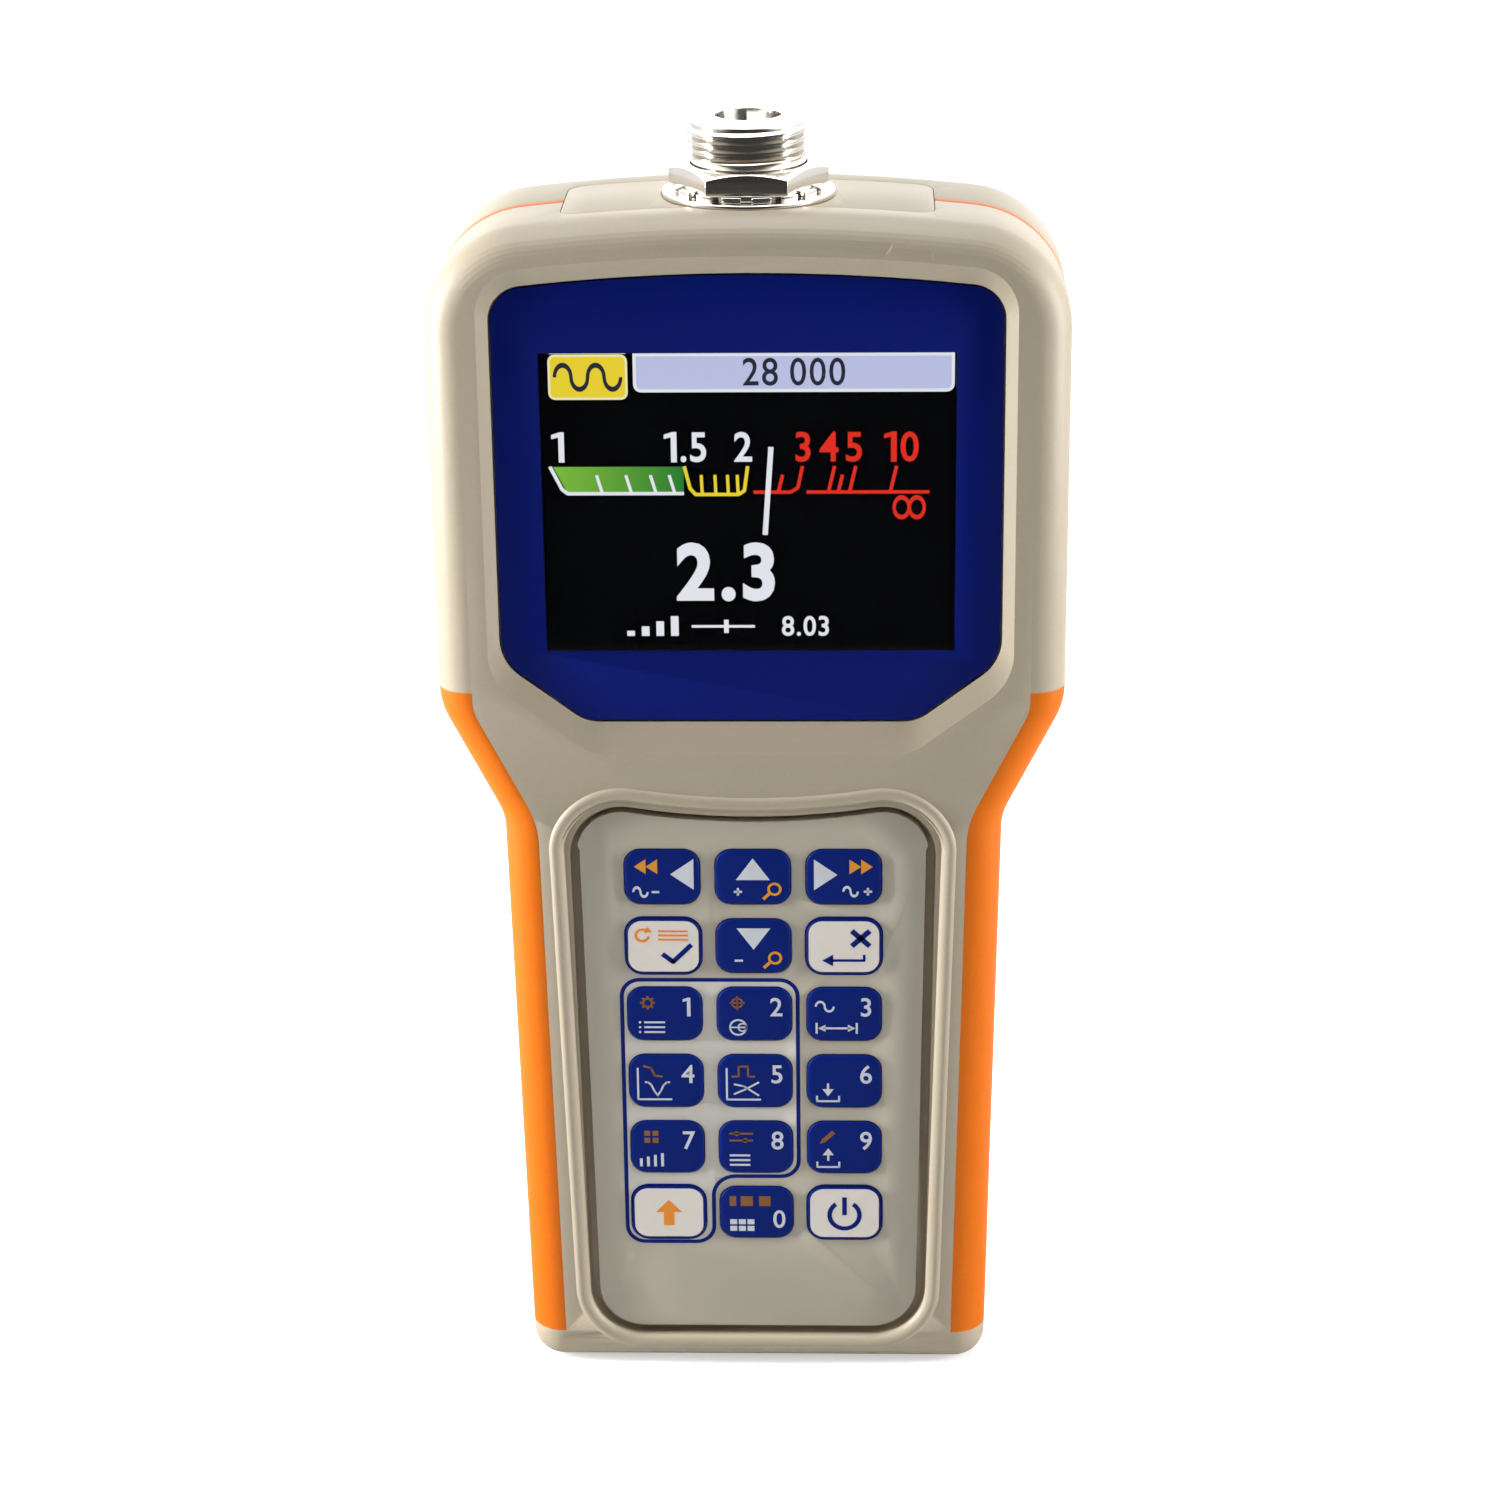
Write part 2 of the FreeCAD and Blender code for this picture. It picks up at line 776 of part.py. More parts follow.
def boss_places():
    # The six case screws: four in the head and two in the foot.
    for side in (-1, 1):
        yield side * (head_half - size.boss_inset), body_height - size.upper_boss_drop
        yield side * (head_half - size.boss_inset), hip_height + size.lower_boss_rise
        yield side * foot_boss_side, size.foot_boss_height


def standoff_places():
    # The four screws that hold the main board: two beside the jack and two in the neck.
    for side in (-1, 1):
        yield side * (board_head_half - size.upper_standoff_inset), body_height - size.upper_standoff_drop
        yield side * (board_handle_half - size.lower_standoff_inset), board_neck + size.lower_standoff_rise


def shared_spaces():
    # What both shells leave open: the top plate with its flange, the washer and the USB socket.
    gap = size.usb_hole_gap
    return [
        deck("plate_space", plate_rectangle(size.seam_gap), flange_low, body_height + size.wall),
        deck("flange_space", plate_rectangle(size.plate_flange + size.seam_gap),
             flange_low - size.plate_flange_room, flange_top + size.seam_gap),
        rod("washer_space", "Z", (0, 0, washer_seat), spot_radius, size.wall),
        block("usb_space", both_sides(size.usb_width / 2 + gap), (board_back - gap, usb_back + gap),
              (-size.wall, 2 * size.wall)),
    ]


def make_front_shell(spaces):
    half = common("front_half", outer_form, block("front_room", (-far, far), (-far, 0), (-far, far)))
    margin = size.shelf_margin
    inside = [
        slab("display_shelf", panel_outline(margin, margin, margin), front_skin_middle, shelf_back),
        slab("keypad_shelf", keypad_outline(margin), front_skin_middle, keypad_floor_back),
    ]
    for i, (x, z) in enumerate(boss_places()):
        inside.append(rod(f"front_boss_{i}", "Y", (x, front_skin_middle, z), size.boss_radius,
                          -front_skin_middle))
    for i, (x, z) in enumerate(standoff_places()):
        inside.append(rod(f"standoff_{i}", "Y", (x, front_skin_middle, z), size.standoff_radius,
                          board_front - front_skin_middle))
    ribs = common("front_inside", outer_form, fuse("front_fittings", *inside))
    lip_front = front_face - size.lip_height
    lip = slab("keypad_lip", keypad_outline(size.keypad_margin + size.lip_width), lip_front,
               front_skin_middle)
    dress(lip, "Chamfer", size.lip_chamfer, on_plane("Y", lip_front))
    solid = fuse("front_solid", cut("front_hollow", half, cavity_form), ribs, lip)

    gap = size.panel_gap
    rim = doc.addObject("Part::Loft", "panel_rim")
    rim.Sections = [
        standing_sketch("rim_edge", panel_outline(size.rim_side, size.rim_top, size.rim_bottom), front_face),
        standing_sketch("rim_foot", panel_outline(gap, gap, gap), panel_front),
    ]
    rim.Solid = True
    rim.Ruled = True
    pocket = slab("keypad_pocket", keypad_outline(size.keypad_margin), lip_front - size.overcut,
                  keypad_floor_front)
    dress(pocket, "Chamfer", size.lip_height, on_plane("Y", keypad_floor_front))
    holes = [
        rim,
        slab("panel_recess", panel_outline(gap, gap, gap), front_face, panel_back),
        slab("module_opening", module_rectangle(size.module_gap), panel_back - gap, none),
        pocket,
        block("film_tail_space", both_sides(size.film_tail_width / 2 + gap), (front_face, 0),
              (film_tail_low - gap, film_tail_low + size.film_thickness + gap)),
    ]
    for i, (x, z) in enumerate(boss_places()):
        holes.append(rod(f"case_pilot_{i}", "Y",
                         (x, screw_head_level - size.case_screw_length - size.pilot_room, z),
                         size.case_screw_radius + size.thread_gap, size.case_screw_length))
    for i, (x, z) in enumerate(standoff_places()):
        holes.append(rod(f"board_pilot_{i}", "Y",
                         (x, board_back - size.board_screw_length - size.pilot_room, z),
                         size.board_screw_radius + size.thread_gap, size.board_screw_length))
    keep("front_shell", cut("front_shell", solid, nodes["left_grip"], nodes["right_grip"], *holes, *spaces))


def cover_solid(name, plate_grow, tongue_grow):
    # The sliding battery cover with a tongue along each side, grown by its clearances.
    plate = block(name + "_plate", both_sides(cover_half + plate_grow),
                  (cover_inside - plate_grow, far), (-far, cover_top + plate_grow))
    tongue = block(name + "_tongue", both_sides(tongue_half + tongue_grow),
                   (cover_inside - tongue_grow, cover_inside + size.tongue_thickness + tongue_grow),
                   (-far, cover_top - size.tongue_drop + tongue_grow))
    return fuse(name, plate, tongue)


def make_back_shell(spaces):
    half = common("back_half", outer_form, block("back_room", (-far, far), (0, far), (-far, far)))
    inside = [block("cover_guide", both_sides(tongue_half + size.wall),
                    (cover_inside - size.wall, back_skin_middle), (size.wall / 2, cover_top + size.wall))]
    for i, (x, z) in enumerate(boss_places()):
        inside.append(rod(f"back_boss_{i}", "Y", (x, 0, z), size.back_boss_radius, back_skin_middle))
    fittings = common("back_inside", outer_form, fuse("back_fittings", *inside))
    solid = fuse("back_solid", cut("back_hollow", half, cavity_form), fittings)

    rim = size.tray_wall + size.seam_gap
    holes = [
        cover_solid("cover_space", size.cover_gap, size.tongue_gap),
        block("battery_mouth", both_sides(tray_half + rim), (0, far), (size.tray_bottom - rim, tray_top + rim)),
    ]
    for i, (x, z) in enumerate(boss_places()):
        holes.append(rod(f"screw_way_{i}", "Y", (x, -size.overcut, z),
                         size.case_screw_radius + size.screw_gap, size.body_depth))
        holes.append(rod(f"screw_sink_{i}", "Y", (x, screw_head_level, z),
                         size.case_screw_head_radius + size.screw_gap, size.body_depth))
    keep("back_shell", cut("back_shell", solid, nodes["left_grip"], nodes["right_grip"], *holes, *spaces))


def make_case_screws():
    screws = []
    for i, (x, z) in enumerate(boss_places()):
        shank = rod(f"case_shank_{i}", "Y", (x, screw_head_level - size.case_screw_length, z),
                    size.case_screw_radius, size.case_screw_length)
        head = rod(f"case_head_{i}", "Y", (x, screw_head_level, z), size.case_screw_head_radius,
                   size.case_screw_head)
        screws.append(fuse(f"case_screw_{i}", shank, head))
    keep("case_screws", group("case_screws", *screws))


# ---------------------------------------------------------------- display

def make_display():
    cut_front, cut_back = panel_front - size.overcut, panel_back + size.overcut
    panel = slab("panel_blank", panel_outline(none, none, none), panel_front, panel_back)
    window_hole = slab("window_hole", screen_rectangle(size.window_gap), cut_front, cut_back)
    keep("display_panel", cut("display_panel", panel, window_hole))
    keep("display_window", slab("display_window", screen_rectangle(none), panel_front, panel_back))

    gasket = slab("gasket_blank", module_rectangle(none), panel_back, module_front)
    sight = slab("gasket_sight", screen_rectangle(size.gasket_sight), cut_front, cut_back)
    keep("display_gasket", cut("display_gasket", gasket, sight))
    keep("display_module", slab("display_module", module_rectangle(none), module_front, module_back))

    holder = slab("holder_blank", module_rectangle(size.holder_rim, size.holder_rim), shelf_back,
                  module_back + size.holder_floor)
    nest = slab("holder_nest", module_rectangle(size.module_gap), front_face, module_back)
    way = block("flex_way", both_sides(size.flex_width / 2 + size.flex_room), (front_face, 0),
                (flex_level - size.flex_room, flex_level + size.flex_room))
    keep("display_holder", cut("display_holder", holder, nest, way))
    # The flat flex runs from the module's back through the holder to the board.
    keep("display_flex", block("display_flex", both_sides(size.flex_width / 2), (module_back, board_front),
                               (flex_level - size.flex_thickness / 2, flex_level + size.flex_thickness / 2)))


# ---------------------------------------------------------------- keypad

KEY_ROWS = [
    ["key_back", "key_up", "key_forward"],
    ["key_accept", "key_down", "key_reject"],
    ["key_1", "key_2", "key_3"],
    ["key_4", "key_5", "key_6"],
    ["key_7", "key_8", "key_9"],
    ["key_function", "key_0", "key_power"],
]
DOME_SIDES = 8


def key_places():
    for row, names in enumerate(KEY_ROWS):
        for column, name in enumerate(names):
            yield name, (column - 1) * size.key_pitch_across, key_top_row - row * size.key_pitch_down


def key_outline(x, z, grow):
    return rectangle(size.key_width / 2 + grow, size.key_height / 2 + grow, x, z,
                     size.key_corner_radius + grow)


def make_keypad():
    # Each key rests with its travel above a snap dome, which is drawn at its pressed height.
    dome_front = overlay_back - size.dome_height
    key_back = dome_front - size.key_travel - size.key_stop_gap
    windows = []
    domes = []
    for name, x, z in key_places():
        windows.append(slab(name + "_window", key_outline(x, z, size.key_gap),
                            overlay_front - size.overcut, overlay_back + size.overcut))
        keep(name, slab(name, key_outline(x, z, none), overlay_front - size.key_proud, key_back))
        dome = prism(name + "_dome", "Y", DOME_SIDES, size.dome_radius, size.dome_height)
        domes.append(place(dome, x, dome_front, z))
    overlay = slab("overlay_blank", keypad_outline(none), overlay_front, overlay_back)
    keep("keypad_overlay", cut("keypad_overlay", overlay, *windows))
    keep("key_domes", group("key_domes", *domes))
    film = slab("film_sheet", keypad_outline(none), overlay_back, keypad_floor_front)
    tail = block("film_tail", both_sides(size.film_tail_width / 2), (overlay_back, board_front),
                 (film_tail_low, film_tail_low + size.film_thickness))
    keep("keypad_film", fuse("keypad_film", film, tail))


# ---------------------------------------------------------------- top plate and antenna jack

def make_top_plate():
    arched = common("plate_arched", outer_form,
                    deck("plate_blank", plate_rectangle(none), flange_top, body_height + size.wall))
    flange = deck("plate_flange", plate_rectangle(size.plate_flange), flange_low, flange_top)
    spot = rod("jack_spot", "Z", (0, 0, washer_seat), spot_radius, size.wall)
    hole = rod("jack_hole", "Z", (0, 0, 0), size.jack_root_radius + size.jack_hole_gap, far)
    keep("top_plate", cut("top_plate", fuse("plate_solid", arched, flange), spot, hole))


def make_jack():
    # The barrel is at its thread's root where the plate, the washers and the nut sit on it.
    bushing = size.contact_radius + size.insulator_wall
    thread, root, bore = size.jack_thread_radius, size.jack_root_radius, size.jack_bore_radius
    keep("jack_body", turned("jack_body", [
        corner(bushing, jack_tail_end),
        corner(size.jack_tail_radius, jack_tail_end),
        corner(size.jack_tail_radius, jack_shelf),
        corner(size.jack_flange_radius, jack_shelf),
        corner(size.jack_flange_radius, flange_low),
        corner(root, flange_low),
        corner(root, nut_top),
        corner(thread, nut_top),
        corner(thread, jack_top - size.jack_thread_chamfer),
        corner(thread - size.jack_thread_chamfer, jack_top),
        corner(bore, jack_top),
        corner(bore, jack_bore_end),
        corner(bushing, jack_bore_end),
    ]))
    insulator_top = jack_bore_end + size.insulator_rise
    keep("jack_insulator", turned("jack_insulator", [
        corner(size.contact_radius, insulator_end),
        corner(bushing, insulator_end),
        corner(bushing, jack_bore_end),
        corner(bore, jack_bore_end),
        corner(bore, insulator_top),
        corner(size.contact_radius, insulator_top),
    ]))
    contact_top = jack_top - size.contact_sink
    contact_bore_end = contact_top - size.contact_bore_depth
    keep("jack_contact", turned("jack_contact", [
        corner(0, contact_pin_end),
        corner(size.contact_pin_radius, contact_pin_end),
        corner(size.contact_pin_radius, insulator_end),
        corner(size.contact_radius, insulator_end),
        corner(size.contact_radius, contact_top - size.contact_chamfer),
        corner(size.contact_radius - size.contact_chamfer, contact_top),
        corner(size.contact_bore_radius, contact_top),
        corner(size.contact_bore_radius, contact_bore_end),
        corner(0, contact_bore_end),
    ]))
    # The lead joins the contact's pin to the board.
    keep("jack_lead", rod("jack_lead", "Y", (0, board_back, contact_pin_end + 2 * size.lead_radius),
                          size.lead_radius, -board_back - size.contact_pin_radius))


def ring_profile(radius, low, high):
    return [corner(washer_bore, low), corner(radius, low), corner(radius, high), corner(washer_bore, high)]


def make_nut_and_washers():
    keep("jack_washer", turned("jack_washer", ring_profile(size.washer_radius, washer_seat, washer_top)))

    toothed = turned("jack_lock_washer", ring_profile(size.lock_washer_radius, washer_top, lock_washer_top))
    space = new_sketch(toothed, "tooth_space_outline", "XY_Plane", lock_washer_top,
                       rectangle(size.lock_tooth_depth, size.lock_tooth_spacing / 2,
                                 size.lock_washer_radius))
    pocket = toothed.newObject("PartDesign::Pocket", "tooth_space")
    pocket.Profile = space
    pocket.setExpression("Length", size.lock_washer_thickness.formula)
    toothed.Tip = pocket
    pattern = toothed.newObject("PartDesign::PolarPattern", "tooth_spaces")
    pattern.Originals = [pocket]
    pattern.Axis = (origin_part(toothed, "Z_Axis"), [""])
    pattern.Angle = 360
    pattern.setExpression("Occurrences", size.lock_tooth_count.formula)
    toothed.Tip = pattern
    keep("jack_lock_washer", toothed)

    across_corners = size.nut_across_flats / math.sqrt(3)
    hexagon = prism("nut_hexagon", "Z", 6, across_corners, size.nut_thickness)
    place(hexagon, 0, 0, lock_washer_top)
    easing = turned("nut_easing", [
        corner(washer_bore, lock_washer_top),
        corner(across_corners, lock_washer_top),
        corner(across_corners, nut_top - size.nut_chamfer),
        corner(size.nut_across_flats / 2 - size.nut_land, nut_top),
        corner(washer_bore, nut_top),
    ])
    keep("jack_nut", common("jack_nut", hexagon, easing))


# ---------------------------------------------------------------- boards

def make_main_board():
    top, slope_top = body_height - size.board_top_drop, board_neck + size.board_neck_slope
    head, handle = board_head_half, board_handle_half
    blank = slab("board_blank", [
        corner(handle, size.board_bottom),
        corner(handle, board_neck),
        corner(head, slope_top),
        corner(head, top),
        corner(-head, top),
        corner(-head, slope_top),
        corner(-handle, board_neck),
        corner(-handle, size.board_bottom),
    ], board_front, board_back)
    holes = [block("jack_notch", both_sides(size.jack_flange_radius + size.overcut), (-far, far),
                   (jack_tail_end - size.jack_notch_gap, far))]
    screws = []
    for i, (x, z) in enumerate(standoff_places()):
        holes.append(rod(f"board_hole_{i}", "Y", (x, board_front - size.overcut, z),
                         size.board_screw_radius + size.board_screw_gap, size.board_face))
        shank = rod(f"board_shank_{i}", "Y", (x, board_back - size.board_screw_length, z),
                    size.board_screw_radius, size.board_screw_length)
        head_disc = rod(f"board_head_{i}", "Y", (x, board_back, z), size.board_screw_head_radius,
                        size.board_screw_head)
        screws.append(fuse(f"board_screw_{i}", shank, head_disc))
    keep("main_board", cut("main_board", blank, *holes))
    keep("board_screws", group("board_screws", *screws))


def make_board_parts():
    # The RF shield is an open-backed can on the board's back; the rest stands on its front.
    half_width, half_height = size.shield_width / 2, size.shield_height / 2
    middle, shield_back = screen_middle + size.shield_rise, board_back + size.shield_depth
    thin = size.shield_wall
    can = block("shield_can", both_sides(half_width), (board_back, shield_back),
                (middle - half_height, middle + half_height))
    room = block("shield_room", both_sides(half_width - thin), (board_front, shield_back - thin),
                 (middle - half_height + thin, middle + half_height - thin))
    keep("rf_shield", cut("rf_shield", can, room))

    half_chip = size.chip_side / 2
    keep("processor", block("processor", both_sides(half_chip), (board_front - size.chip_thickness, board_front),
                            (size.chip_level - half_chip, size.chip_level + half_chip)))

    beeper_front, level = board_front - size.beeper_depth, keypad_top + size.beeper_rise
    beeper = rod("beeper_can", "Y", (0, beeper_front, level), size.beeper_radius, size.beeper_depth)
    sound_hole = rod("sound_hole", "Y", (0, beeper_front, level), size.beeper_hole_radius,
                     size.beeper_hole_depth)
    keep("beeper", cut("beeper", beeper, sound_hole))


def cable_socket(name, middle, cable_half, cable_thickness):
    # A low socket on the board with a slit for a flat cable.
    border, gap = size.socket_border, size.socket_slit_gap
    socket = block(name + "_body", both_sides(cable_half + border),
                   (board_front - size.socket_depth, board_front), (middle - border, middle + border))
    slit_half = cable_thickness / 2 + gap
    slit = block(name + "_slit", both_sides(cable_half + gap),
                 (board_front - size.socket_depth - size.overcut, board_back),
                 (middle - slit_half, middle + slit_half))
    return cut(name, socket, slit)


def make_sockets():
    keep("cable_sockets", group(
        "cable_sockets",
        cable_socket("display_socket", flex_level, size.flex_width / 2, size.flex_thickness),
        cable_socket("keypad_socket", film_tail_low + size.film_thickness / 2, size.film_tail_width / 2,
                     size.film_thickness)))

    # The USB socket looks out of the foot; its folded shell is open at the mouth.
    half, thin = size.usb_width / 2, size.usb_wall
    low, high = size.usb_sink, size.usb_sink + size.usb_length
    shell = block("usb_shell", both_sides(half), (board_back, usb_back), (low, high))
    mouth = block("usb_mouth", both_sides(half - thin), (board_back + thin, usb_back - thin),
                  (low - size.overcut, high - thin))
    tongue_middle = (board_back + usb_back) / 2
    tongue = block("usb_tongue", both_sides(half / 2),
                   (tongue_middle - size.usb_tongue_thickness / 2,
                    tongue_middle + size.usb_tongue_thickness / 2),
                   (low + size.usb_tongue_sink, high))
    keep("usb_socket", fuse("usb_socket", cut("usb_folded", shell, mouth), tongue))


# ---------------------------------------------------------------- battery bay

def make_tray_and_contacts():
    low, high = size.tray_bottom, tray_top
    wall, thin, tab = size.tray_wall, size.contact_thickness, size.contact_tab_width / 2
    outer = block("tray_outer", both_sides(tray_half + wall),
                  (tray_floor - wall, cover_inside - size.cover_gap - size.seam_gap),
                  (low - wall, high + wall))
    room = block("tray_room", both_sides(tray_half), (tray_floor, far), (low, high))
    plate_half = size.cell_radius - size.contact_margin
    plate_depth = (cell_axis_y - plate_half, cell_axis_y + plate_half)
    plates = [block("bridge_plate", both_sides(cell_pitch + plate_half), plate_depth, (high - thin, high))]
    slots = []
    for name, x in (("left", -cell_pitch), ("right", cell_pitch)):
        slots.append(block(name + "_tab_slot",
                           (x - tab - size.contact_tab_gap, x + tab + size.contact_tab_gap),
                           (-far, tray_floor + size.overcut), (low, low + thin + size.contact_tab_gap)))
        pad = block(name + "_pad", (x - plate_half, x + plate_half), plate_depth, (low, low + thin))
        tail = block(name + "_tab", (x - tab, x + tab), (board_back, cell_axis_y), (low, low + thin))
        plates.append(fuse(name + "_contact", pad, tail))
    keep("battery_tray", cut("battery_tray", outer, room, *slots))
    keep("battery_contacts", group("battery_contacts", *plates))


def cell(name, x, base, way):
    # A dry cell with its nub up (way 1) or down (way -1); base is its flat end.
    radius, tip = size.cell_radius, size.cell_nub_radius
    shoulder = base + way * size.cell_length
    end = shoulder + way * size.cell_nub
    profile = [corner(0, base), corner(radius, base), corner(radius, shoulder), corner(tip, shoulder),
               corner(tip, end), corner(0, end)]
    keep(name, turned(name, profile[::way], x, cell_axis_y))


def spring(name, x, low):
    # A coil with its two ends level with the contact plate and the cell.
    wire = size.spring_wire / 2
    climb = size.spring_length - size.spring_wire
    path = doc.addObject("Part::Helix", name + "_path")
    path.setExpression("Radius", size.spring_radius.formula)
    path.setExpression("Pitch", (climb / size.spring_turns).formula)
    path.setExpression("Height", climb.formula)
    place(path, x, cell_axis_y, low + wire)
    section = doc.addObject("Part::RegularPolygon", name + "_wire")
    section.Polygon = 4
    section.setExpression("Circumradius", wire.formula)
    section.Placement = FreeCAD.Placement(Vector(), FreeCAD.Rotation(Vector(1, 0, 0), 90))
    place(section, x + size.spring_radius, cell_axis_y, low + wire)
    coil = doc.addObject("Part::Sweep", name)
    coil.Sections = [section]
    coil.Spine = (path, ["Edge1"])
    coil.Solid = True
    coil.Frenet = True
    return coil


def make_cells():
    # The cells lie head to tail, and each has its spring at its flat end.
    low, high = size.tray_bottom + size.contact_thickness, tray_top - size.contact_thickness
    cell("left_cell", -cell_pitch, low + size.spring_length, 1)
    cell("right_cell", cell_pitch, high - size.spring_length, -1)
    keep("battery_springs", group("battery_springs", spring("left_spring", -cell_pitch, low),
                                  spring("right_spring", cell_pitch, high - size.spring_length)))


def make_battery_cover():
    ribs = []
    for i in range(int(size.rib_count.value)):
        ribs.append(rod(f"cover_rib_{i}", "X",
                        (-size.rib_width / 2, back_face, cover_top - size.rib_drop - i * size.rib_spacing),
                        size.rib_radius, size.rib_width))
    cover = common("cover_blank", outer_form, cover_solid("cover_shape", none, none))
    keep("battery_cover", cut("battery_cover", cover, *ribs))


def save():
    failed = [item.Label for item in doc.Objects if "Invalid" in item.State or "Error" in item.State]
    for name, item in nodes.items():
        if item.Shape.isNull() or not item.Shape.isValid() or not item.Shape.Solids:
            failed.append(name)
    if failed:
        raise RuntimeError("these failed: " + ", ".join(failed))
    os.makedirs("parts", exist_ok=True)
    for name, item in nodes.items():
        item.Shape.exportStep(f"parts/{name}.step")
        print(name, len(item.Shape.Solids), round(item.Shape.Volume, 1))


make_grips()
shell_spaces = shared_spaces()
make_front_shell(shell_spaces)
make_back_shell(shell_spaces)
make_case_screws()
make_display()
make_keypad()
make_top_plate()
make_jack()
make_nut_and_washers()
make_main_board()
make_board_parts()
make_sockets()
make_tray_and_contacts()
make_cells()
make_battery_cover()
doc.recompute()
save()
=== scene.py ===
import math

import bmesh
import bpy
from mathutils import Matrix, Vector


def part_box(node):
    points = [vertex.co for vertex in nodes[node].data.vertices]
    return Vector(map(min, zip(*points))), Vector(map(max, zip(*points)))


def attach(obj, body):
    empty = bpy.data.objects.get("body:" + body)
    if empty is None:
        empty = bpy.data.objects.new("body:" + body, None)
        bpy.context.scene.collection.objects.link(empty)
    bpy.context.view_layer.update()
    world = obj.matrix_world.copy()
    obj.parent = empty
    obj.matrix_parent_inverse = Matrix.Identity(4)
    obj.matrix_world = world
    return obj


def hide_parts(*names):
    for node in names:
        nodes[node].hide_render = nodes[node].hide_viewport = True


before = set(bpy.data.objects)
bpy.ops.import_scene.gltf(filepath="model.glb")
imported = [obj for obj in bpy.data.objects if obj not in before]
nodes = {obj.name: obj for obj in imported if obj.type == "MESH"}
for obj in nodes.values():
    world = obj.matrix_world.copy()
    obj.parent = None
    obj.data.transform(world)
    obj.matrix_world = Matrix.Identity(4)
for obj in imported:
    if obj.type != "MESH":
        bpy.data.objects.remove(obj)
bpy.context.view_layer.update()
mm = 0.001
print("frame loaded:", len(nodes), "nodes")


# --- colours and shader nodes ---

def srgb(red, green, blue):
    channels = []
    for value in (red, green, blue):
        share = value / 255
        channels.append(share / 12.92 if share <= 0.04045 else ((share + 0.055) / 1.055) ** 2.4)
    return (*channels, 1.0)


def addNode(tree, kind, column, row=0, **settings):
    node = tree.nodes.new(kind)
    node.location = (column * 200, row * -180)
    for name, value in settings.items():
        setattr(node, name, value)
    return node


def mathNode(tree, operation, column, row, first, second=None, third=None):
    node = addNode(tree, "ShaderNodeMath", column, row, operation=operation)
    for place, value in enumerate((first, second, third)):
        if value is None:
            continue
        if isinstance(value, (int, float)):
            node.inputs[place].default_value = value
        else:
            tree.links.new(value, node.inputs[place])
    return node.outputs[0]


def newGroup(name, inputs, outputs):
    tree = bpy.data.node_groups.new(name, "ShaderNodeTree")
    for label, kind, value in inputs:
        socket = tree.interface.new_socket(name=label, in_out="INPUT", socket_type="NodeSocket" + kind)
        if value is not None:
            socket.default_value = value
    for label, kind in outputs:
        tree.interface.new_socket(name=label, in_out="OUTPUT", socket_type="NodeSocket" + kind)
    return tree, addNode(tree, "NodeGroupInput", -4), addNode(tree, "NodeGroupOutput", 6)


def noiseNode(tree, column, row, vector, size, detail=2.0):
    node = addNode(tree, "ShaderNodeTexNoise", column, row)
    node.inputs["Detail"].default_value = detail
    tree.links.new(vector, node.inputs["Vector"])
    tree.links.new(mathNode(tree, "DIVIDE", column - 1, row, 1.0, size), node.inputs["Scale"])
    return node.outputs["Fac"]


# noise that swings round zero, times its reach
def swingNode(tree, column, row, noise, reach):
    centred = mathNode(tree, "SUBTRACT", column - 1, row, noise, 0.5)
    return mathNode(tree, "MULTIPLY", column, row, centred, reach)


# a colour that drifts a little over the surface and carries fine specks
def makeToneDrift():
    tree, start, end = newGroup("toneDrift", [
        ("Position", "Vector", None), ("Colour", "Color", (0.5, 0.5, 0.5, 1)), ("Drift", "Float", 0.04),
        ("Patch", "Float", 0.02), ("Specks", "Float", 0.03), ("Speck Size", "Float", 0.0005),
    ], [("Colour", "Color")])
    place = start.outputs["Position"]
    broad = noiseNode(tree, -2, 0, place, start.outputs["Patch"])
    fine = noiseNode(tree, -2, 1, place, start.outputs["Speck Size"])
    broad = swingNode(tree, 0, 0, broad, start.outputs["Drift"])
    fine = swingNode(tree, 0, 1, fine, start.outputs["Specks"])
    shade = mathNode(tree, "MULTIPLY_ADD", 1, 0, mathNode(tree, "ADD", 1, 1, broad, fine), 2.0, 1.0)
    scale = addNode(tree, "ShaderNodeVectorMath", 3, 0, operation="SCALE")
    tree.links.new(start.outputs["Colour"], scale.inputs[0])
    tree.links.new(shade, scale.inputs["Scale"])
    tree.links.new(scale.outputs[0], end.inputs["Colour"])
    return tree


# fine relief: soft pits and a finer noise over them
def makeFineGrain():
    tree, start, end = newGroup("fineGrain", [
        ("Position", "Vector", None), ("Size", "Float", 0.0004), ("Pits", "Float", 0.5),
    ], [("Height", "Float")])
    place = start.outputs["Position"]
    noise = noiseNode(tree, -1, 0, place, start.outputs["Size"], 3.0)
    pits = addNode(tree, "ShaderNodeTexVoronoi", -1, 1, feature="SMOOTH_F1")
    tree.links.new(place, pits.inputs["Vector"])
    tree.links.new(mathNode(tree, "DIVIDE", -2, 1, 0.6, start.outputs["Size"]), pits.inputs["Scale"])
    deep = mathNode(tree, "MULTIPLY", 1, 1, pits.outputs["Distance"], start.outputs["Pits"])
    tree.links.new(mathNode(tree, "ADD", 2, 0, noise, deep), end.inputs["Height"])
    return tree


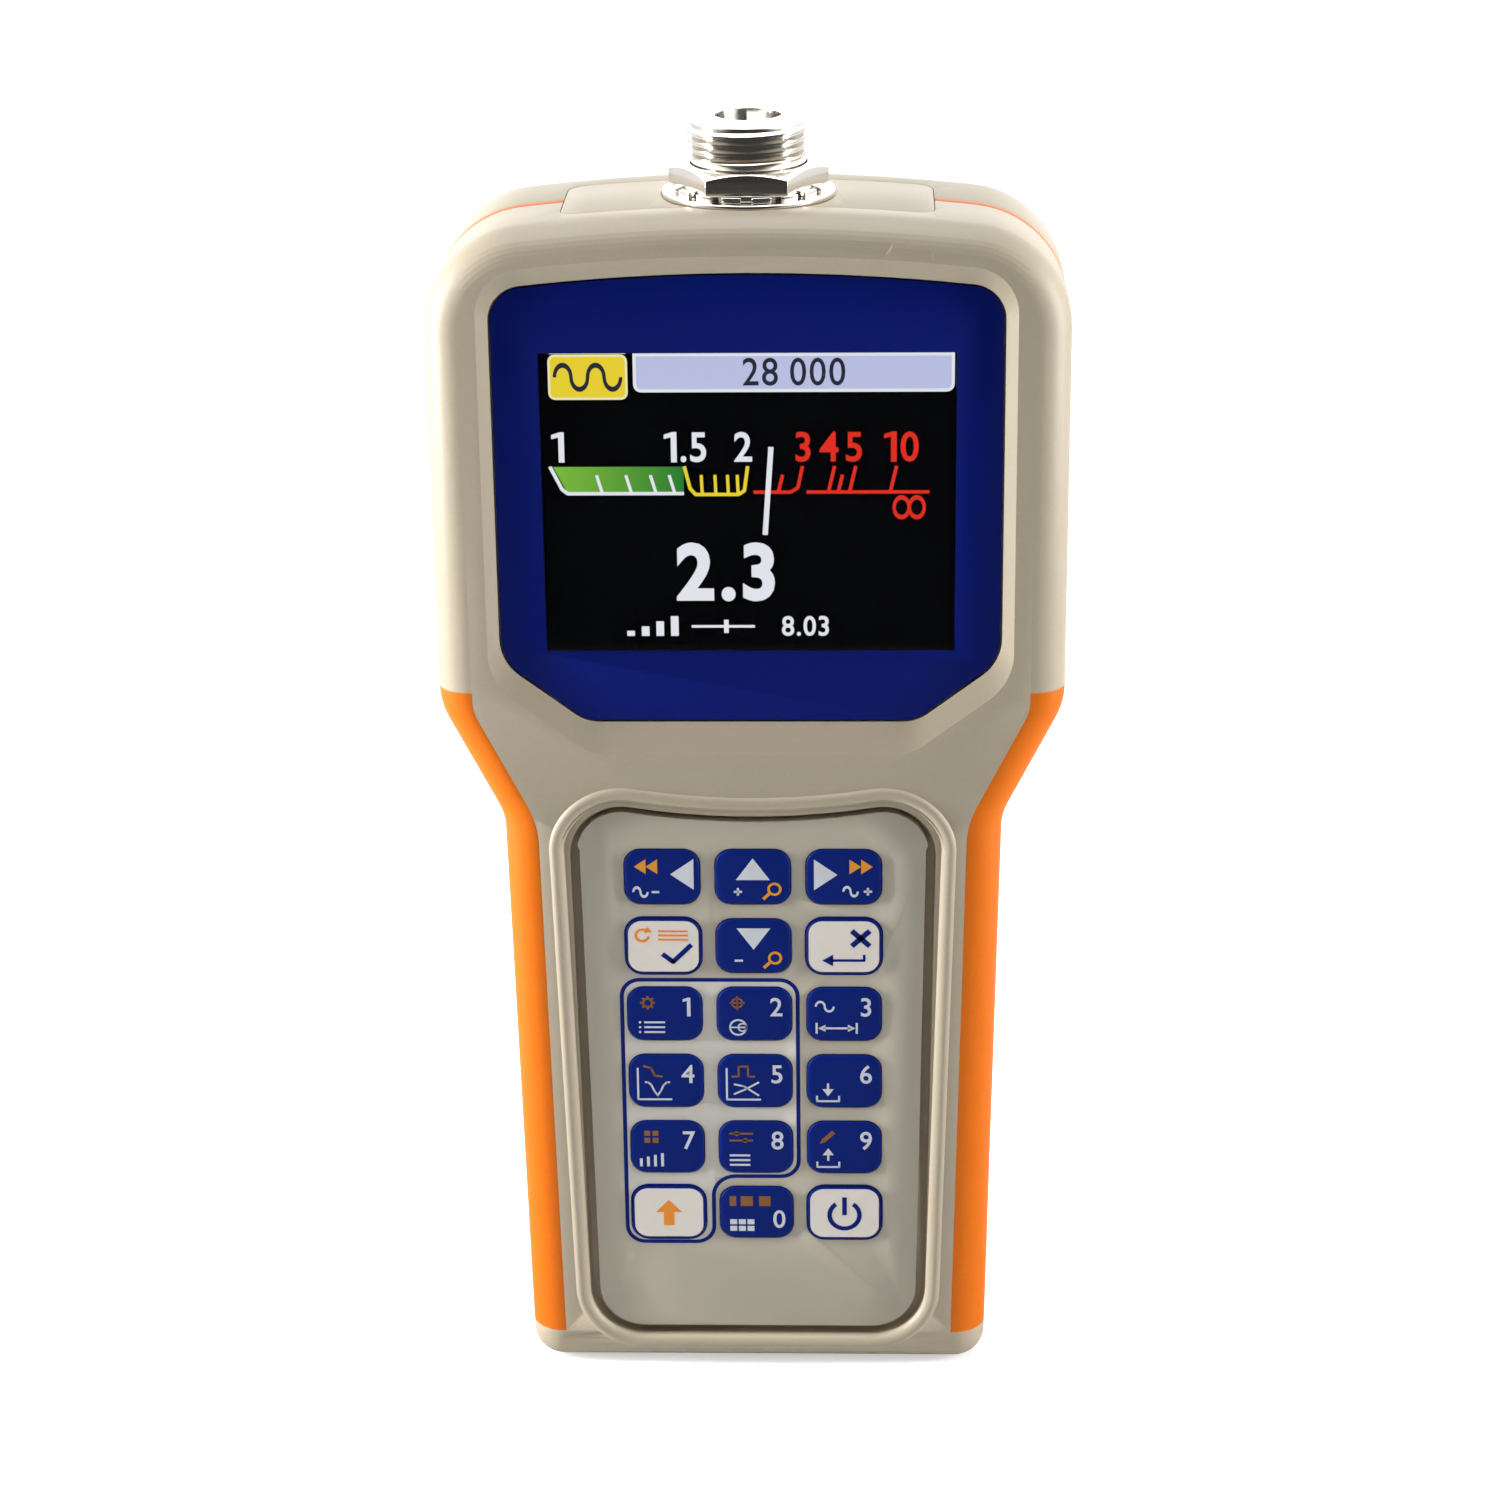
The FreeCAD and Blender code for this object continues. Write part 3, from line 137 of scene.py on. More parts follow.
# gloss that changes where hands and cloths have been
def makeHandledGloss():
    tree, start, end = newGroup("handledGloss", [
        ("Position", "Vector", None), ("Roughness", "Float", 0.5), ("Spread", "Float", 0.05),
        ("Patch", "Float", 0.012),
    ], [("Roughness", "Float")])
    broad = noiseNode(tree, -1, 0, start.outputs["Position"], start.outputs["Patch"], 4.0)
    change = swingNode(tree, 1, 0, broad, start.outputs["Spread"])
    value = mathNode(tree, "MULTIPLY_ADD", 2, 0, change, 2.0, start.outputs["Roughness"])
    tree.links.new(value, end.inputs["Roughness"])
    return tree


# 1 inside a box with round corners in the front plane, 0 outside
def makeRoundedBoxMask():
    tree, start, end = newGroup("roundedBoxMask", [
        ("Position", "Vector", None), ("Middle X", "Float", 0.0), ("Middle Z", "Float", 0.05),
        ("Half X", "Float", 0.01), ("Half Z", "Float", 0.01), ("Corner", "Float", 0.002),
        ("Soft", "Float", 0.0002),
    ], [("Mask", "Float")])
    parts = addNode(tree, "ShaderNodeSeparateXYZ", -3, 0)
    tree.links.new(start.outputs["Position"], parts.inputs[0])
    squares = []
    for row, axis in enumerate(("X", "Z")):
        offset = mathNode(tree, "SUBTRACT", -2, row, parts.outputs[axis], start.outputs["Middle " + axis])
        reach = mathNode(tree, "SUBTRACT", -1, row, mathNode(tree, "ABSOLUTE", -1, row + 2, offset),
                         start.outputs["Half " + axis])
        grown = mathNode(tree, "ADD", 0, row + 2, reach, start.outputs["Corner"])
        past = mathNode(tree, "MAXIMUM", 0, row, grown, 0.0)
        squares.append(mathNode(tree, "MULTIPLY", 1, row, past, past))
    far = mathNode(tree, "SQRT", 2, 0, mathNode(tree, "ADD", 2, 1, squares[0], squares[1]))
    inside = mathNode(tree, "DIVIDE", 3, 0, mathNode(tree, "SUBTRACT", 3, 1, start.outputs["Corner"], far),
                      start.outputs["Soft"])
    clamp = addNode(tree, "ShaderNodeClamp", 4, 0)
    tree.links.new(inside, clamp.inputs[0])
    tree.links.new(clamp.outputs[0], end.inputs["Mask"])
    return tree


toneDrift = makeToneDrift()
roundedBoxMask = makeRoundedBoxMask()
fineGrain = makeFineGrain()
handledGloss = makeHandledGloss()


def placeGroup(tree, group, column, row, position, **values):
    node = addNode(tree, "ShaderNodeGroup", column, row, node_tree=group)
    tree.links.new(position, node.inputs["Position"])
    for name, value in values.items():
        node.inputs[name.replace("_", " ")].default_value = value
    return node


def newMaterial(name, look):
    material = bpy.data.materials.new(name)
    material.use_nodes = True
    tree = material.node_tree
    shader = tree.nodes["Principled BSDF"]
    position = addNode(tree, "ShaderNodeTexCoord", -6).outputs["Object"]
    tone = placeGroup(tree, toneDrift, -3, 0, position, Colour=look["colour"],
                      Drift=look.get("drift", 0.03), Patch=look.get("patch", 20 * mm),
                      Specks=look.get("specks", 0.02), Speck_Size=look.get("speckSize", 0.5 * mm))
    tree.links.new(tone.outputs["Colour"], shader.inputs["Base Color"])
    gloss = placeGroup(tree, handledGloss, -3, 2, position, Roughness=look["roughness"],
                       Spread=look.get("glossSpread", 0.05))
    tree.links.new(gloss.outputs["Roughness"], shader.inputs["Roughness"])
    grain = placeGroup(tree, fineGrain, -3, 4, position, Size=look.get("grainSize", 0.4 * mm),
                       Pits=look.get("pits", 0.5))
    bump = addNode(tree, "ShaderNodeBump", -1, 4)
    bump.inputs["Strength"].default_value = look.get("relief", 0.3)
    bump.inputs["Distance"].default_value = look.get("grainDepth", 0.02 * mm)
    tree.links.new(grain.outputs["Height"], bump.inputs["Height"])
    tree.links.new(bump.outputs["Normal"], shader.inputs["Normal"])
    shader.inputs["Metallic"].default_value = look.get("metallic", 0.0)
    shader.inputs["Specular IOR Level"].default_value = look.get("specular", 0.4)
    shader.inputs["Coat Weight"].default_value = look.get("coat", 0.0)
    return material


looks = {
    "casingPlastic": {"colour": srgb(164, 152, 131), "roughness": 0.5, "specular": 0.6, "specks": 0.05,
                      "speckSize": 0.35 * mm, "grainSize": 0.3 * mm, "relief": 0.25},
    "gripRubber": {"colour": srgb(204, 100, 0), "roughness": 0.5, "specular": 0.14, "specks": 0.06,
                   "speckSize": 0.4 * mm, "grainSize": 0.35 * mm, "relief": 0.4},
    "panelBlue": {"colour": srgb(8, 23, 102), "roughness": 0.3, "specular": 0.06, "grainSize": 1.2 * mm,
                  "relief": 0.05},
    "screenBlack": {"colour": srgb(8, 8, 12), "roughness": 0.25, "specular": 0.05},
    "windowClear": {"colour": srgb(235, 238, 245), "roughness": 0.08, "specular": 0.1},
    "blackFoam": {"colour": srgb(28, 28, 30), "roughness": 0.9, "grainSize": 0.25 * mm, "pits": 1.5,
                  "relief": 0.8},
    "blackPlastic": {"colour": srgb(30, 30, 33), "roughness": 0.45},
    "amberFilm": {"colour": srgb(196, 118, 32), "roughness": 0.28},
    "overlayGrey": {"colour": srgb(170, 163, 148), "roughness": 0.42, "specular": 0.3, "specks": 0.02,
                    "speckSize": 0.25 * mm, "grainSize": 0.22 * mm, "relief": 0.15},
    "keyBlue": {"colour": srgb(1, 28, 108), "roughness": 0.45, "specular": 0.08, "grainSize": 0.22 * mm,
                "relief": 0.12},
    "keyWhite": {"colour": srgb(208, 202, 193), "roughness": 0.42, "specular": 0.3, "grainSize": 0.22 * mm,
                 "relief": 0.12},
    "printOrange": {"colour": srgb(206, 138, 34), "roughness": 0.45, "specular": 0.2},
    "printBrown": {"colour": srgb(130, 86, 42), "roughness": 0.45, "specular": 0.2},
    "printAmber": {"colour": srgb(220, 132, 40), "roughness": 0.45, "specular": 0.2},
    "printGrey": {"colour": srgb(190, 194, 200), "roughness": 0.45, "specular": 0.2},
    "steel": {"colour": srgb(196, 197, 200), "roughness": 0.28, "metallic": 1.0},
    "nickel": {"colour": srgb(222, 218, 210), "roughness": 0.14, "metallic": 1.0},
    "gold": {"colour": srgb(228, 186, 104), "roughness": 0.2, "metallic": 1.0},
    "copperWire": {"colour": srgb(205, 150, 110), "roughness": 0.3, "metallic": 1.0},
    "whiteInsulator": {"colour": srgb(235, 234, 229), "roughness": 0.4},
    "boardGreen": {"colour": srgb(22, 84, 48), "roughness": 0.3},
    "cellJacket": {"colour": srgb(52, 54, 60), "roughness": 0.3},
}
materials = {name: newMaterial(name, look) for name, look in looks.items()}

glows = {
    "glowWhite": [srgb(246, 246, 246)],
    "glowCream": [srgb(252, 246, 190)],
    "glowYellow": [srgb(252, 222, 52)],
    "glowGreen": [srgb(132, 198, 62), srgb(40, 132, 48)],
    "glowRed": [srgb(240, 50, 30)],
    "glowLavender": [srgb(202, 206, 236)],
    "glowDark": [srgb(40, 42, 56)],
}
pixelGrid = {"pitch": 52.8 / 320 * mm, "line": 0.16, "dim": 0.9, "from": -25 * mm, "to": -8.3 * mm,
             "off": (0.01, 0.01, 0.01, 1)}


# lit dots with a slightly dimmer grid between them
def makePixelMask():
    tree, start, end = newGroup("pixelMask", [
        ("Position", "Vector", None), ("Pitch", "Float", 0.165 * mm), ("Line", "Float", 0.16),
        ("Dim", "Float", 0.9), ("Colour", "Color", (1, 1, 1, 1)),
    ], [("Colour", "Color")])
    parts = addNode(tree, "ShaderNodeSeparateXYZ", -3, 0)
    tree.links.new(start.outputs["Position"], parts.inputs[0])
    lit = []
    for row, axis in enumerate(("X", "Z")):
        cell = mathNode(tree, "DIVIDE", -2, row, parts.outputs[axis], start.outputs["Pitch"])
        part = mathNode(tree, "FRACT", -1, row, cell)
        lit.append(mathNode(tree, "GREATER_THAN", 0, row, part, start.outputs["Line"]))
    dot = mathNode(tree, "MULTIPLY", 1, 0, lit[0], lit[1])
    level = mathNode(tree, "MAXIMUM", 2, 0, dot, start.outputs["Dim"])
    scale = addNode(tree, "ShaderNodeVectorMath", 4, 0, operation="SCALE")
    tree.links.new(start.outputs["Colour"], scale.inputs[0])
    tree.links.new(level, scale.inputs["Scale"])
    tree.links.new(scale.outputs[0], end.inputs["Colour"])
    return tree


pixelMask = makePixelMask()


def newGlow(name, tones):
    material = bpy.data.materials.new(name)
    material.use_nodes = True
    tree = material.node_tree
    shader = tree.nodes["Principled BSDF"]
    position = addNode(tree, "ShaderNodeTexCoord", -6).outputs["Object"]
    dots = placeGroup(tree, pixelMask, -2, 0, position, Pitch=pixelGrid["pitch"], Line=pixelGrid["line"],
                      Dim=pixelGrid["dim"], Colour=tones[0])
    if len(tones) > 1:
        parts = addNode(tree, "ShaderNodeSeparateXYZ", -5, 1)
        tree.links.new(position, parts.inputs[0])
        across = addNode(tree, "ShaderNodeMapRange", -4, 1)
        across.inputs["From Min"].default_value = pixelGrid["from"]
        across.inputs["From Max"].default_value = pixelGrid["to"]
        tree.links.new(parts.outputs["X"], across.inputs["Value"])
        blend = addNode(tree, "ShaderNodeMix", -3, 1, data_type="RGBA")
        tree.links.new(across.outputs[0], blend.inputs[0])
        blend.inputs[6].default_value = tones[0]
        blend.inputs[7].default_value = tones[1]
        tree.links.new(blend.outputs[2], dots.inputs["Colour"])
    tree.links.new(dots.outputs["Colour"], shader.inputs["Emission Color"])
    shader.inputs["Emission Strength"].default_value = 1.0
    shader.inputs["Base Color"].default_value = pixelGrid["off"]
    shader.inputs["Specular IOR Level"].default_value = 0.0
    return material


for name, tones in glows.items():
    materials[name] = newGlow(name, tones)
windowIor = 1.12
glass = materials["windowClear"].node_tree.nodes["Principled BSDF"]
glass.inputs["Transmission Weight"].default_value = 1.0
glass.inputs["IOR"].default_value = windowIor
# the overlay has a lighter tint inside the printed line
overlayTint = {
    "colour": srgb(188, 184, 176), "corner": 2.7 * mm,
    "boxes": [{"Middle_X": -6.0 * mm, "Middle_Z": 43.94 * mm, "Half_X": 12.1 * mm, "Half_Z": 14.99 * mm},
              {"Middle_X": -11.85 * mm, "Middle_Z": 29.0 * mm, "Half_X": 6.25 * mm, "Half_Z": 10.14 * mm}],
}


def tintOverlay():
    tree = materials["overlayGrey"].node_tree
    shader = tree.nodes["Principled BSDF"]
    tone = shader.inputs["Base Color"].links[0].from_node
    position = addNode(tree, "ShaderNodeTexCoord", -6, -3).outputs["Object"]
    masks = []
    for row, box in enumerate(overlayTint["boxes"]):
        mask = placeGroup(tree, roundedBoxMask, -4, -2 - row, position, Corner=overlayTint["corner"], **box)
        masks.append(mask.outputs["Mask"])
    blend = addNode(tree, "ShaderNodeMix", -2, -2, data_type="RGBA")
    tree.links.new(mathNode(tree, "MAXIMUM", -3, -3, *masks), blend.inputs[0])
    tree.links.new(tone.outputs["Colour"], blend.inputs[6])
    blend.inputs[7].default_value = overlayTint["colour"]
    tree.links.new(blend.outputs[2], shader.inputs["Base Color"])


tintOverlay()
print("materials made:", len(materials))


# --- carried-over nodes ---

nodeMaterials = {
    "casingPlastic": ["front_shell", "back_shell", "top_plate", "battery_cover"],
    "gripRubber": ["left_grip", "right_grip"],
    "panelBlue": ["display_panel"],
    "windowClear": ["display_window"],
    "screenBlack": ["display_module"],
    "blackFoam": ["display_gasket"],
    "blackPlastic": ["display_holder", "processor", "beeper", "battery_tray"],
    "amberFilm": ["display_flex", "keypad_film"],
    "overlayGrey": ["keypad_overlay"],
    "keyWhite": ["key_accept", "key_reject", "key_function", "key_power"],
    "keyBlue": ["key_back", "key_up", "key_forward", "key_down"] + [f"key_{digit}" for digit in range(10)],
    "steel": ["key_domes", "board_screws", "rf_shield", "usb_socket", "case_screws"],
    "nickel": ["jack_body", "jack_washer", "jack_lock_washer", "jack_nut", "battery_contacts",
               "battery_springs"],
    "gold": ["jack_contact"],
    "copperWire": ["jack_lead"],
    "whiteInsulator": ["jack_insulator", "cable_sockets"],
    "boardGreen": ["main_board"],
    "cellJacket": ["left_cell", "right_cell"],
}
for materialName, nodeNames in nodeMaterials.items():
    for nodeName in nodeNames:
        node = nodes[nodeName]
        for slot in node.material_slots:
            slot.material = materials[materialName]


# --- new pieces from copies of nodes ---

copying = {"merge": 0.001 * mm, "flat": math.radians(0.2), "sharp": math.radians(35)}


def copyOf(nodeName):
    shape = bmesh.new()
    shape.from_mesh(nodes[nodeName].data)
    bmesh.ops.remove_doubles(shape, verts=shape.verts, dist=copying["merge"])
    bmesh.ops.dissolve_limit(shape, angle_limit=copying["flat"], verts=shape.verts, edges=shape.edges)
    return shape


def middleOf(nodeName):
    low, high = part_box(nodeName)
    return (low + high) / 2


def sharpEdges(shape, angle, test=None):
    chosen = []
    for edge in shape.edges:
        if len(edge.link_faces) != 2 or not edge.is_convex:
            continue
        if edge.calc_face_angle() > angle and (test is None or test(edge)):
            chosen.append(edge)
    return chosen


def softenEdges(shape, width, segments=2, angle=copying["sharp"], test=None):
    bmesh.ops.bevel(shape, geom=sharpEdges(shape, angle, test), offset=width, offset_type="OFFSET",
                    affect="EDGES", segments=segments, profile=0.5, material=-1, clamp_overlap=True,
                    loop_slide=False)


def finishPiece(name, shape, material, body, replaced=(), smooth=math.radians(40), crisp=None):
    shape.edges.index_update()
    creases = [edge.index for edge in shape.edges if crisp and len(edge.link_faces) == 2 and crisp(edge)]
    mesh = bpy.data.meshes.new(name)
    shape.to_mesh(mesh)
    shape.free()
    mesh.materials.append(materials[material])
    mesh.shade_smooth()
    mesh.set_sharp_from_angle(angle=smooth)
    for index in creases:
        mesh.edges[index].use_edge_sharp = True
    piece = bpy.data.objects.new(name, mesh)
    bpy.context.scene.collection.objects.link(piece)
    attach(piece, body)
    if replaced:
        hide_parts(*replaced)
    return piece


# reach from the wall of the keypad recess and height over the casing's front, in millimetres
lipBead = {"section": [(0.0, -0.6), (0.08, -0.3), (0.25, -0.06), (0.5, 0.15), (0.8, 0.31), (1.1, 0.38),
                       (1.4, 0.37), (1.62, 0.28), (1.82, 0.14), (2.0, -0.03)],
           "back": [(1.95, -0.3), (1.0, -1.0), (0.1, -1.0)], "lowered": 1.3 * mm, "face": 0.4 * mm,
           "rise": 1.0, "riseFrom": 70 * mm, "riseTo": 80 * mm}
overlayTrim = {"gap": 0.4 * mm, "windowReach": 0.6 * mm, "below": 78 * mm}


# the direction across the front in which the walls at this vertex face
def wallDirection(vert):
    way = sum((face.normal for face in vert.link_faces if abs(face.normal.y) < 0.9), Vector())
    way.y = 0
    return way.normalized() if way.length > 0.01 else None


def onCrest(vert, crest):
    return abs(vert.co.y - crest) < 0.01 * mm


# the lip round the keypad is lowered in the shell, and its wall's edge becomes the path of a soft bead
def makeLipBead(shape):
    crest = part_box("front_shell")[0].y
    path = bmesh.new()
    made = {}
    for edge in shape.edges:
        walls = [face for face in edge.link_faces if abs(face.normal.y) < 0.1]
        if not walls or not all(onCrest(vert, crest) for vert in edge.verts):
            continue
        for vert in edge.verts:
            if vert not in made:
                made[vert] = path.verts.new(vert.co)
        path.edges.new([made[vert] for vert in edge.verts])
    middle = middleOf("keypad_overlay")
    path.verts.index_update()
    ways = []
    for vert in path.verts:
        way = Vector()
        for edge in vert.link_edges:
            along = edge.verts[1].co - edge.verts[0].co
            side = Vector((along.z, 0, -along.x)).normalized()
            way += side if side.dot(vert.co - middle) > 0 else -side
        ways.append(way.normalized())
    starts = [vert.co.copy() for vert in path.verts]
    ring = list(path.verts)
    edges = list(path.edges)
    first = list(edges)
    for turn, (reach, height) in enumerate(lipBead["section"] + lipBead["back"]):
        if turn:
            pulled = bmesh.ops.extrude_edge_only(path, edges=edges)["geom"]
            follow = {}
            for old in ring:
                follow[old] = next(edge.other_vert(old) for edge in old.link_edges
                                   if edge.other_vert(old) in pulled)
            ring = [follow[vert] for vert in ring]
            edges = [item for item in pulled if isinstance(item, bmesh.types.BMEdge)]
            edges = [edge for edge in edges if all(vert in set(ring) for vert in edge.verts)]
        for vert, start, way in zip(ring, starts, ways):
            share = (start.z - lipBead["riseFrom"]) / (lipBead["riseTo"] - lipBead["riseFrom"])
            share = min(max(share, 0), 1)
            vert.co = start + way * (reach + lipBead["rise"] * share * share * (3 - 2 * share)) * mm
            vert.co.y = crest + lipBead["face"] - height * mm
    bmesh.ops.bridge_loops(path, edges=first + edges)
    bmesh.ops.recalc_face_normals(path, faces=path.faces)
    ledge = crest + lipBead["lowered"]
    walls = {(round(start.x, 5), round(start.z, 5)) for start in starts}
    for vert in shape.verts:
        onWall = (round(vert.co.x, 5), round(vert.co.z, 5)) in walls
        if onCrest(vert, crest) or onWall and vert.co.y < ledge:
            vert.co.y = ledge
    print("lip bead:", len(starts), "places,", len(path.faces), "faces")
    finishPiece("keypadLip", path, "casingPlastic", "casing")


# the overlay keeps clear of the walls round it
def trimOverlay(shape):
    windows = [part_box(name) for name in nodes if name.startswith("key_") and name != "key_domes"]
    reach = overlayTrim["windowReach"]
    rim = []
    for vert in shape.verts:
        if vert.co.z < overlayTrim["below"] and not any(
                low.x - reach < vert.co.x < high.x + reach and low.z - reach < vert.co.z < high.z + reach
                for low, high in windows):
            rim.append((vert, wallDirection(vert)))
    for vert, way in rim:
        if way:
            vert.co -= way * overlayTrim["gap"]


displayRim = {"bottom": 88 * mm, "side": 36 * mm, "behind": -14.4 * mm, "angle": math.radians(6)}


# the shallow slopes round the display meet the front in crisp edges
def onDisplayRim(edge):
    if edge.calc_face_angle() < displayRim["angle"]:
        return False
    return all(vert.co.z > displayRim["bottom"] and abs(vert.co.x) < displayRim["side"]
               and vert.co.y < displayRim["behind"] for vert in edge.verts)


shells = [
    ("frontShell", "front_shell", "casingPlastic", "casing", "casing", 0.18 * mm),
    ("backShell", "back_shell", "casingPlastic", "casing", "casing", 0.18 * mm),
    ("topPlate", "top_plate", "casingPlastic", "casing", "casing", 0.2 * mm),
    ("batteryCover", "battery_cover", "casingPlastic", "battery_cover", "casing", 0.2 * mm),
    ("leftGrip", "left_grip", "gripRubber", "casing", "grip_rubber", 0.2 * mm),
    ("rightGrip", "right_grip", "gripRubber", "casing", "grip_rubber", 0.2 * mm),
    ("displayPanel", "display_panel", "panelBlue", "casing", "panel_blue", 0.12 * mm),
    ("keypadOverlay", "keypad_overlay", "overlayGrey", "casing", "overlay_grey", 0.15 * mm),
    ("keypadFilm", "keypad_film", "amberFilm", "casing", "amber_film", 0.02 * mm),
]
for name, nodeName, material, body, slotName, soft in shells:
    shape = copyOf(nodeName)
    if name == "frontShell":
        makeLipBead(shape)
    if name in ("keypadOverlay", "keypadFilm"):
        trimOverlay(shape)
    softenEdges(shape, soft)
    finishPiece(name, shape, material, body, [nodeName],
                crisp=onDisplayRim if name == "frontShell" else None)
print("shells, grips, panel and overlay softened")


# --- flat drawing, in millimetres: x to the right, y up, z towards the user ---

def patch(sheet, corners):
    return sheet.faces.new([sheet.verts.new((x, y, 0)) for x, y in corners])


def plate(sheet, x, y, width, height, radius, segments=5):
    corners = bmesh.ops.create_grid(sheet, x_segments=1, y_segments=1, size=0.5)["verts"]
    bmesh.ops.transform(sheet, verts=corners,
                        matrix=Matrix.Translation((x, y, 0)) @ Matrix.Diagonal((width, height, 1, 1)))
    if radius:
        bmesh.ops.bevel(sheet, geom=corners, offset=radius, offset_type="OFFSET", affect="VERTICES",
                        segments=segments, profile=0.5, material=-1, clamp_overlap=True)


def bar(sheet, start, end, width):
    start = Vector((*start, 0))
    along = Vector((*end, 0)) - start
    corners = bmesh.ops.create_grid(sheet, x_segments=1, y_segments=1, size=0.5)["verts"]
    turn = Matrix.Rotation(math.atan2(along.y, along.x), 4, "Z")
    size = Matrix.Diagonal((along.length, width, 1, 1))
    bmesh.ops.transform(sheet, verts=corners, matrix=Matrix.Translation(start + along / 2) @ turn @ size)


def line(sheet, points, width):
    for start, end in zip(points, points[1:]):
        bar(sheet, start, end, width)
    for point in points[1:-1]:
        disc(sheet, point[0], point[1], width / 2, 8)


def disc(sheet, x, y, radius, segments=20, squeeze=1.0):
    place = Matrix.Translation((x, y, 0)) @ Matrix.Diagonal((1, squeeze, 1, 1))
    bmesh.ops.create_circle(sheet, cap_ends=True, segments=segments, radius=radius, matrix=place)


def arc(sheet, x, y, radius, width, start=0, sweep=360, squeeze=1.0):
    whole = sweep == 360
    ends = [sheet.verts.new((radius + side * width / 2, 0, 0)) for side in (1, -1)]
    edge = sheet.edges.new(ends)
    before = set(sheet.verts) - set(ends)
    bmesh.ops.rotate(sheet, verts=ends, cent=(0, 0, 0), matrix=Matrix.Rotation(math.radians(start), 3, "Z"))
    bmesh.ops.spin(sheet, geom=[*ends, edge], cent=(0, 0, 0), axis=(0, 0, 1), dvec=(0, 0, 0),
                   angle=math.radians(sweep), steps=max(6, round(abs(sweep) / 15)), use_merge=whole,
                   use_duplicate=False)
    made = [vert for vert in sheet.verts if vert not in before]
    bmesh.ops.transform(sheet, verts=made,
                        matrix=Matrix.Translation((x, y, 0)) @ Matrix.Diagonal((1, squeeze, 1, 1)))


oneShape = [(0.0, 0.0), (0.0, 1.0), (-0.12, 1.0), (-0.34, 0.91), (-0.34, 0.77), (-0.155, 0.83),
            (-0.155, 0.0)]
figure = {"space": 0.3, "stemWeight": 12, "stemEdge": -0.1}


def glyphMesh(character, weight):
    curve = bpy.data.curves.new("figures", "FONT")
    curve.body = character
    curve.resolution_u = 4
    curve.offset = weight
    holder = bpy.data.objects.new("figures", curve)
    mesh = bpy.data.meshes.new_from_object(holder)
    bpy.data.objects.remove(holder)
    bpy.data.curves.remove(curve)
    return mesh


def figures(sheet, text, x, y, height, squeeze=1.0, weight=0.0, gap=0.12):
    made = bmesh.new()
    zero = glyphMesh("0", weight)
    low = min(vert.co.y for vert in zero.vertices)
    scale = height / (max(vert.co.y for vert in zero.vertices) - low)
    bpy.data.meshes.remove(zero)
    pen = 0.0
    for character in text:
        if character == " ":
            pen += height * figure["space"]
            continue
        glyph = bmesh.new()
        if character == "1":
            stem = 1 + weight * figure["stemWeight"]
            patch(glyph, [(px * height * (stem if px < figure["stemEdge"] else 1), py * height)
                          for px, py in oneShape])
        else:
            mesh = glyphMesh(character, weight)
            glyph.from_mesh(mesh)
            bpy.data.meshes.remove(mesh)
            size = Matrix.Diagonal((scale * squeeze, scale, 1, 1))
            bmesh.ops.transform(glyph, verts=glyph.verts, matrix=size @ Matrix.Translation((0, -low, 0)))
        left = min(vert.co.x for vert in glyph.verts)
        width = max(vert.co.x for vert in glyph.verts) - left
        bmesh.ops.translate(glyph, verts=glyph.verts, vec=(pen - left, 0, 0))
        joinSheet(made, glyph)
        pen += width + gap * height
    bmesh.ops.translate(made, verts=made.verts, vec=(x - (pen - gap * height) / 2, y - height / 2, 0))
    joinSheet(sheet, made)


def joinSheet(target, part):
    mesh = bpy.data.meshes.new("joined")
    part.to_mesh(mesh)
    part.free()
    target.from_mesh(mesh)
    bpy.data.meshes.remove(mesh)


def frontPlace(x, z, level):
    return (Matrix.Translation((x, level, z)) @ Matrix.Rotation(math.radians(90), 4, "X")
            @ Matrix.Diagonal((mm, mm, mm, 1)))


def printPiece(name, sheet, material, place, thickness, body):
    raised = bmesh.ops.extrude_face_region(sheet, geom=sheet.faces[:])
    lifted = [item for item in raised["geom"] if isinstance(item, bmesh.types.BMVert)]
    bmesh.ops.translate(sheet, vec=(0, 0, thickness), verts=lifted)
    bmesh.ops.recalc_face_normals(sheet, faces=sheet.faces)
    bmesh.ops.transform(sheet, matrix=place, verts=sheet.verts)
    return finishPiece(name, sheet, material, body)


# --- what the display shows ---

screen = {
    "layer": 0.03, "first": -13.33 * mm, "second": -13.37 * mm,
    "digit": 4.0, "numberLine": 7.3, "baseLine": 1.15, "scaleTop": 4.75, "tickTop": 3.6,
    "whiteTicks": [-18.75, -15.0, -11.86, -9.46], "yellowTicks": [-5.95, -4.2, -2.6, -1.35],
    "redLongTicks": [10.2, 12.9, 18.1], "redShortTicks": [3.8, 11.45], "lean": -0.7,
}
low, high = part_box("display_window")
screenMiddle = (low.z + high.z) / 2


def displayPiece(name, sheet, material, level="first"):
    printPiece(name, sheet, material, frontPlace(0, screenMiddle, screen[level]), screen["layer"], "casing")


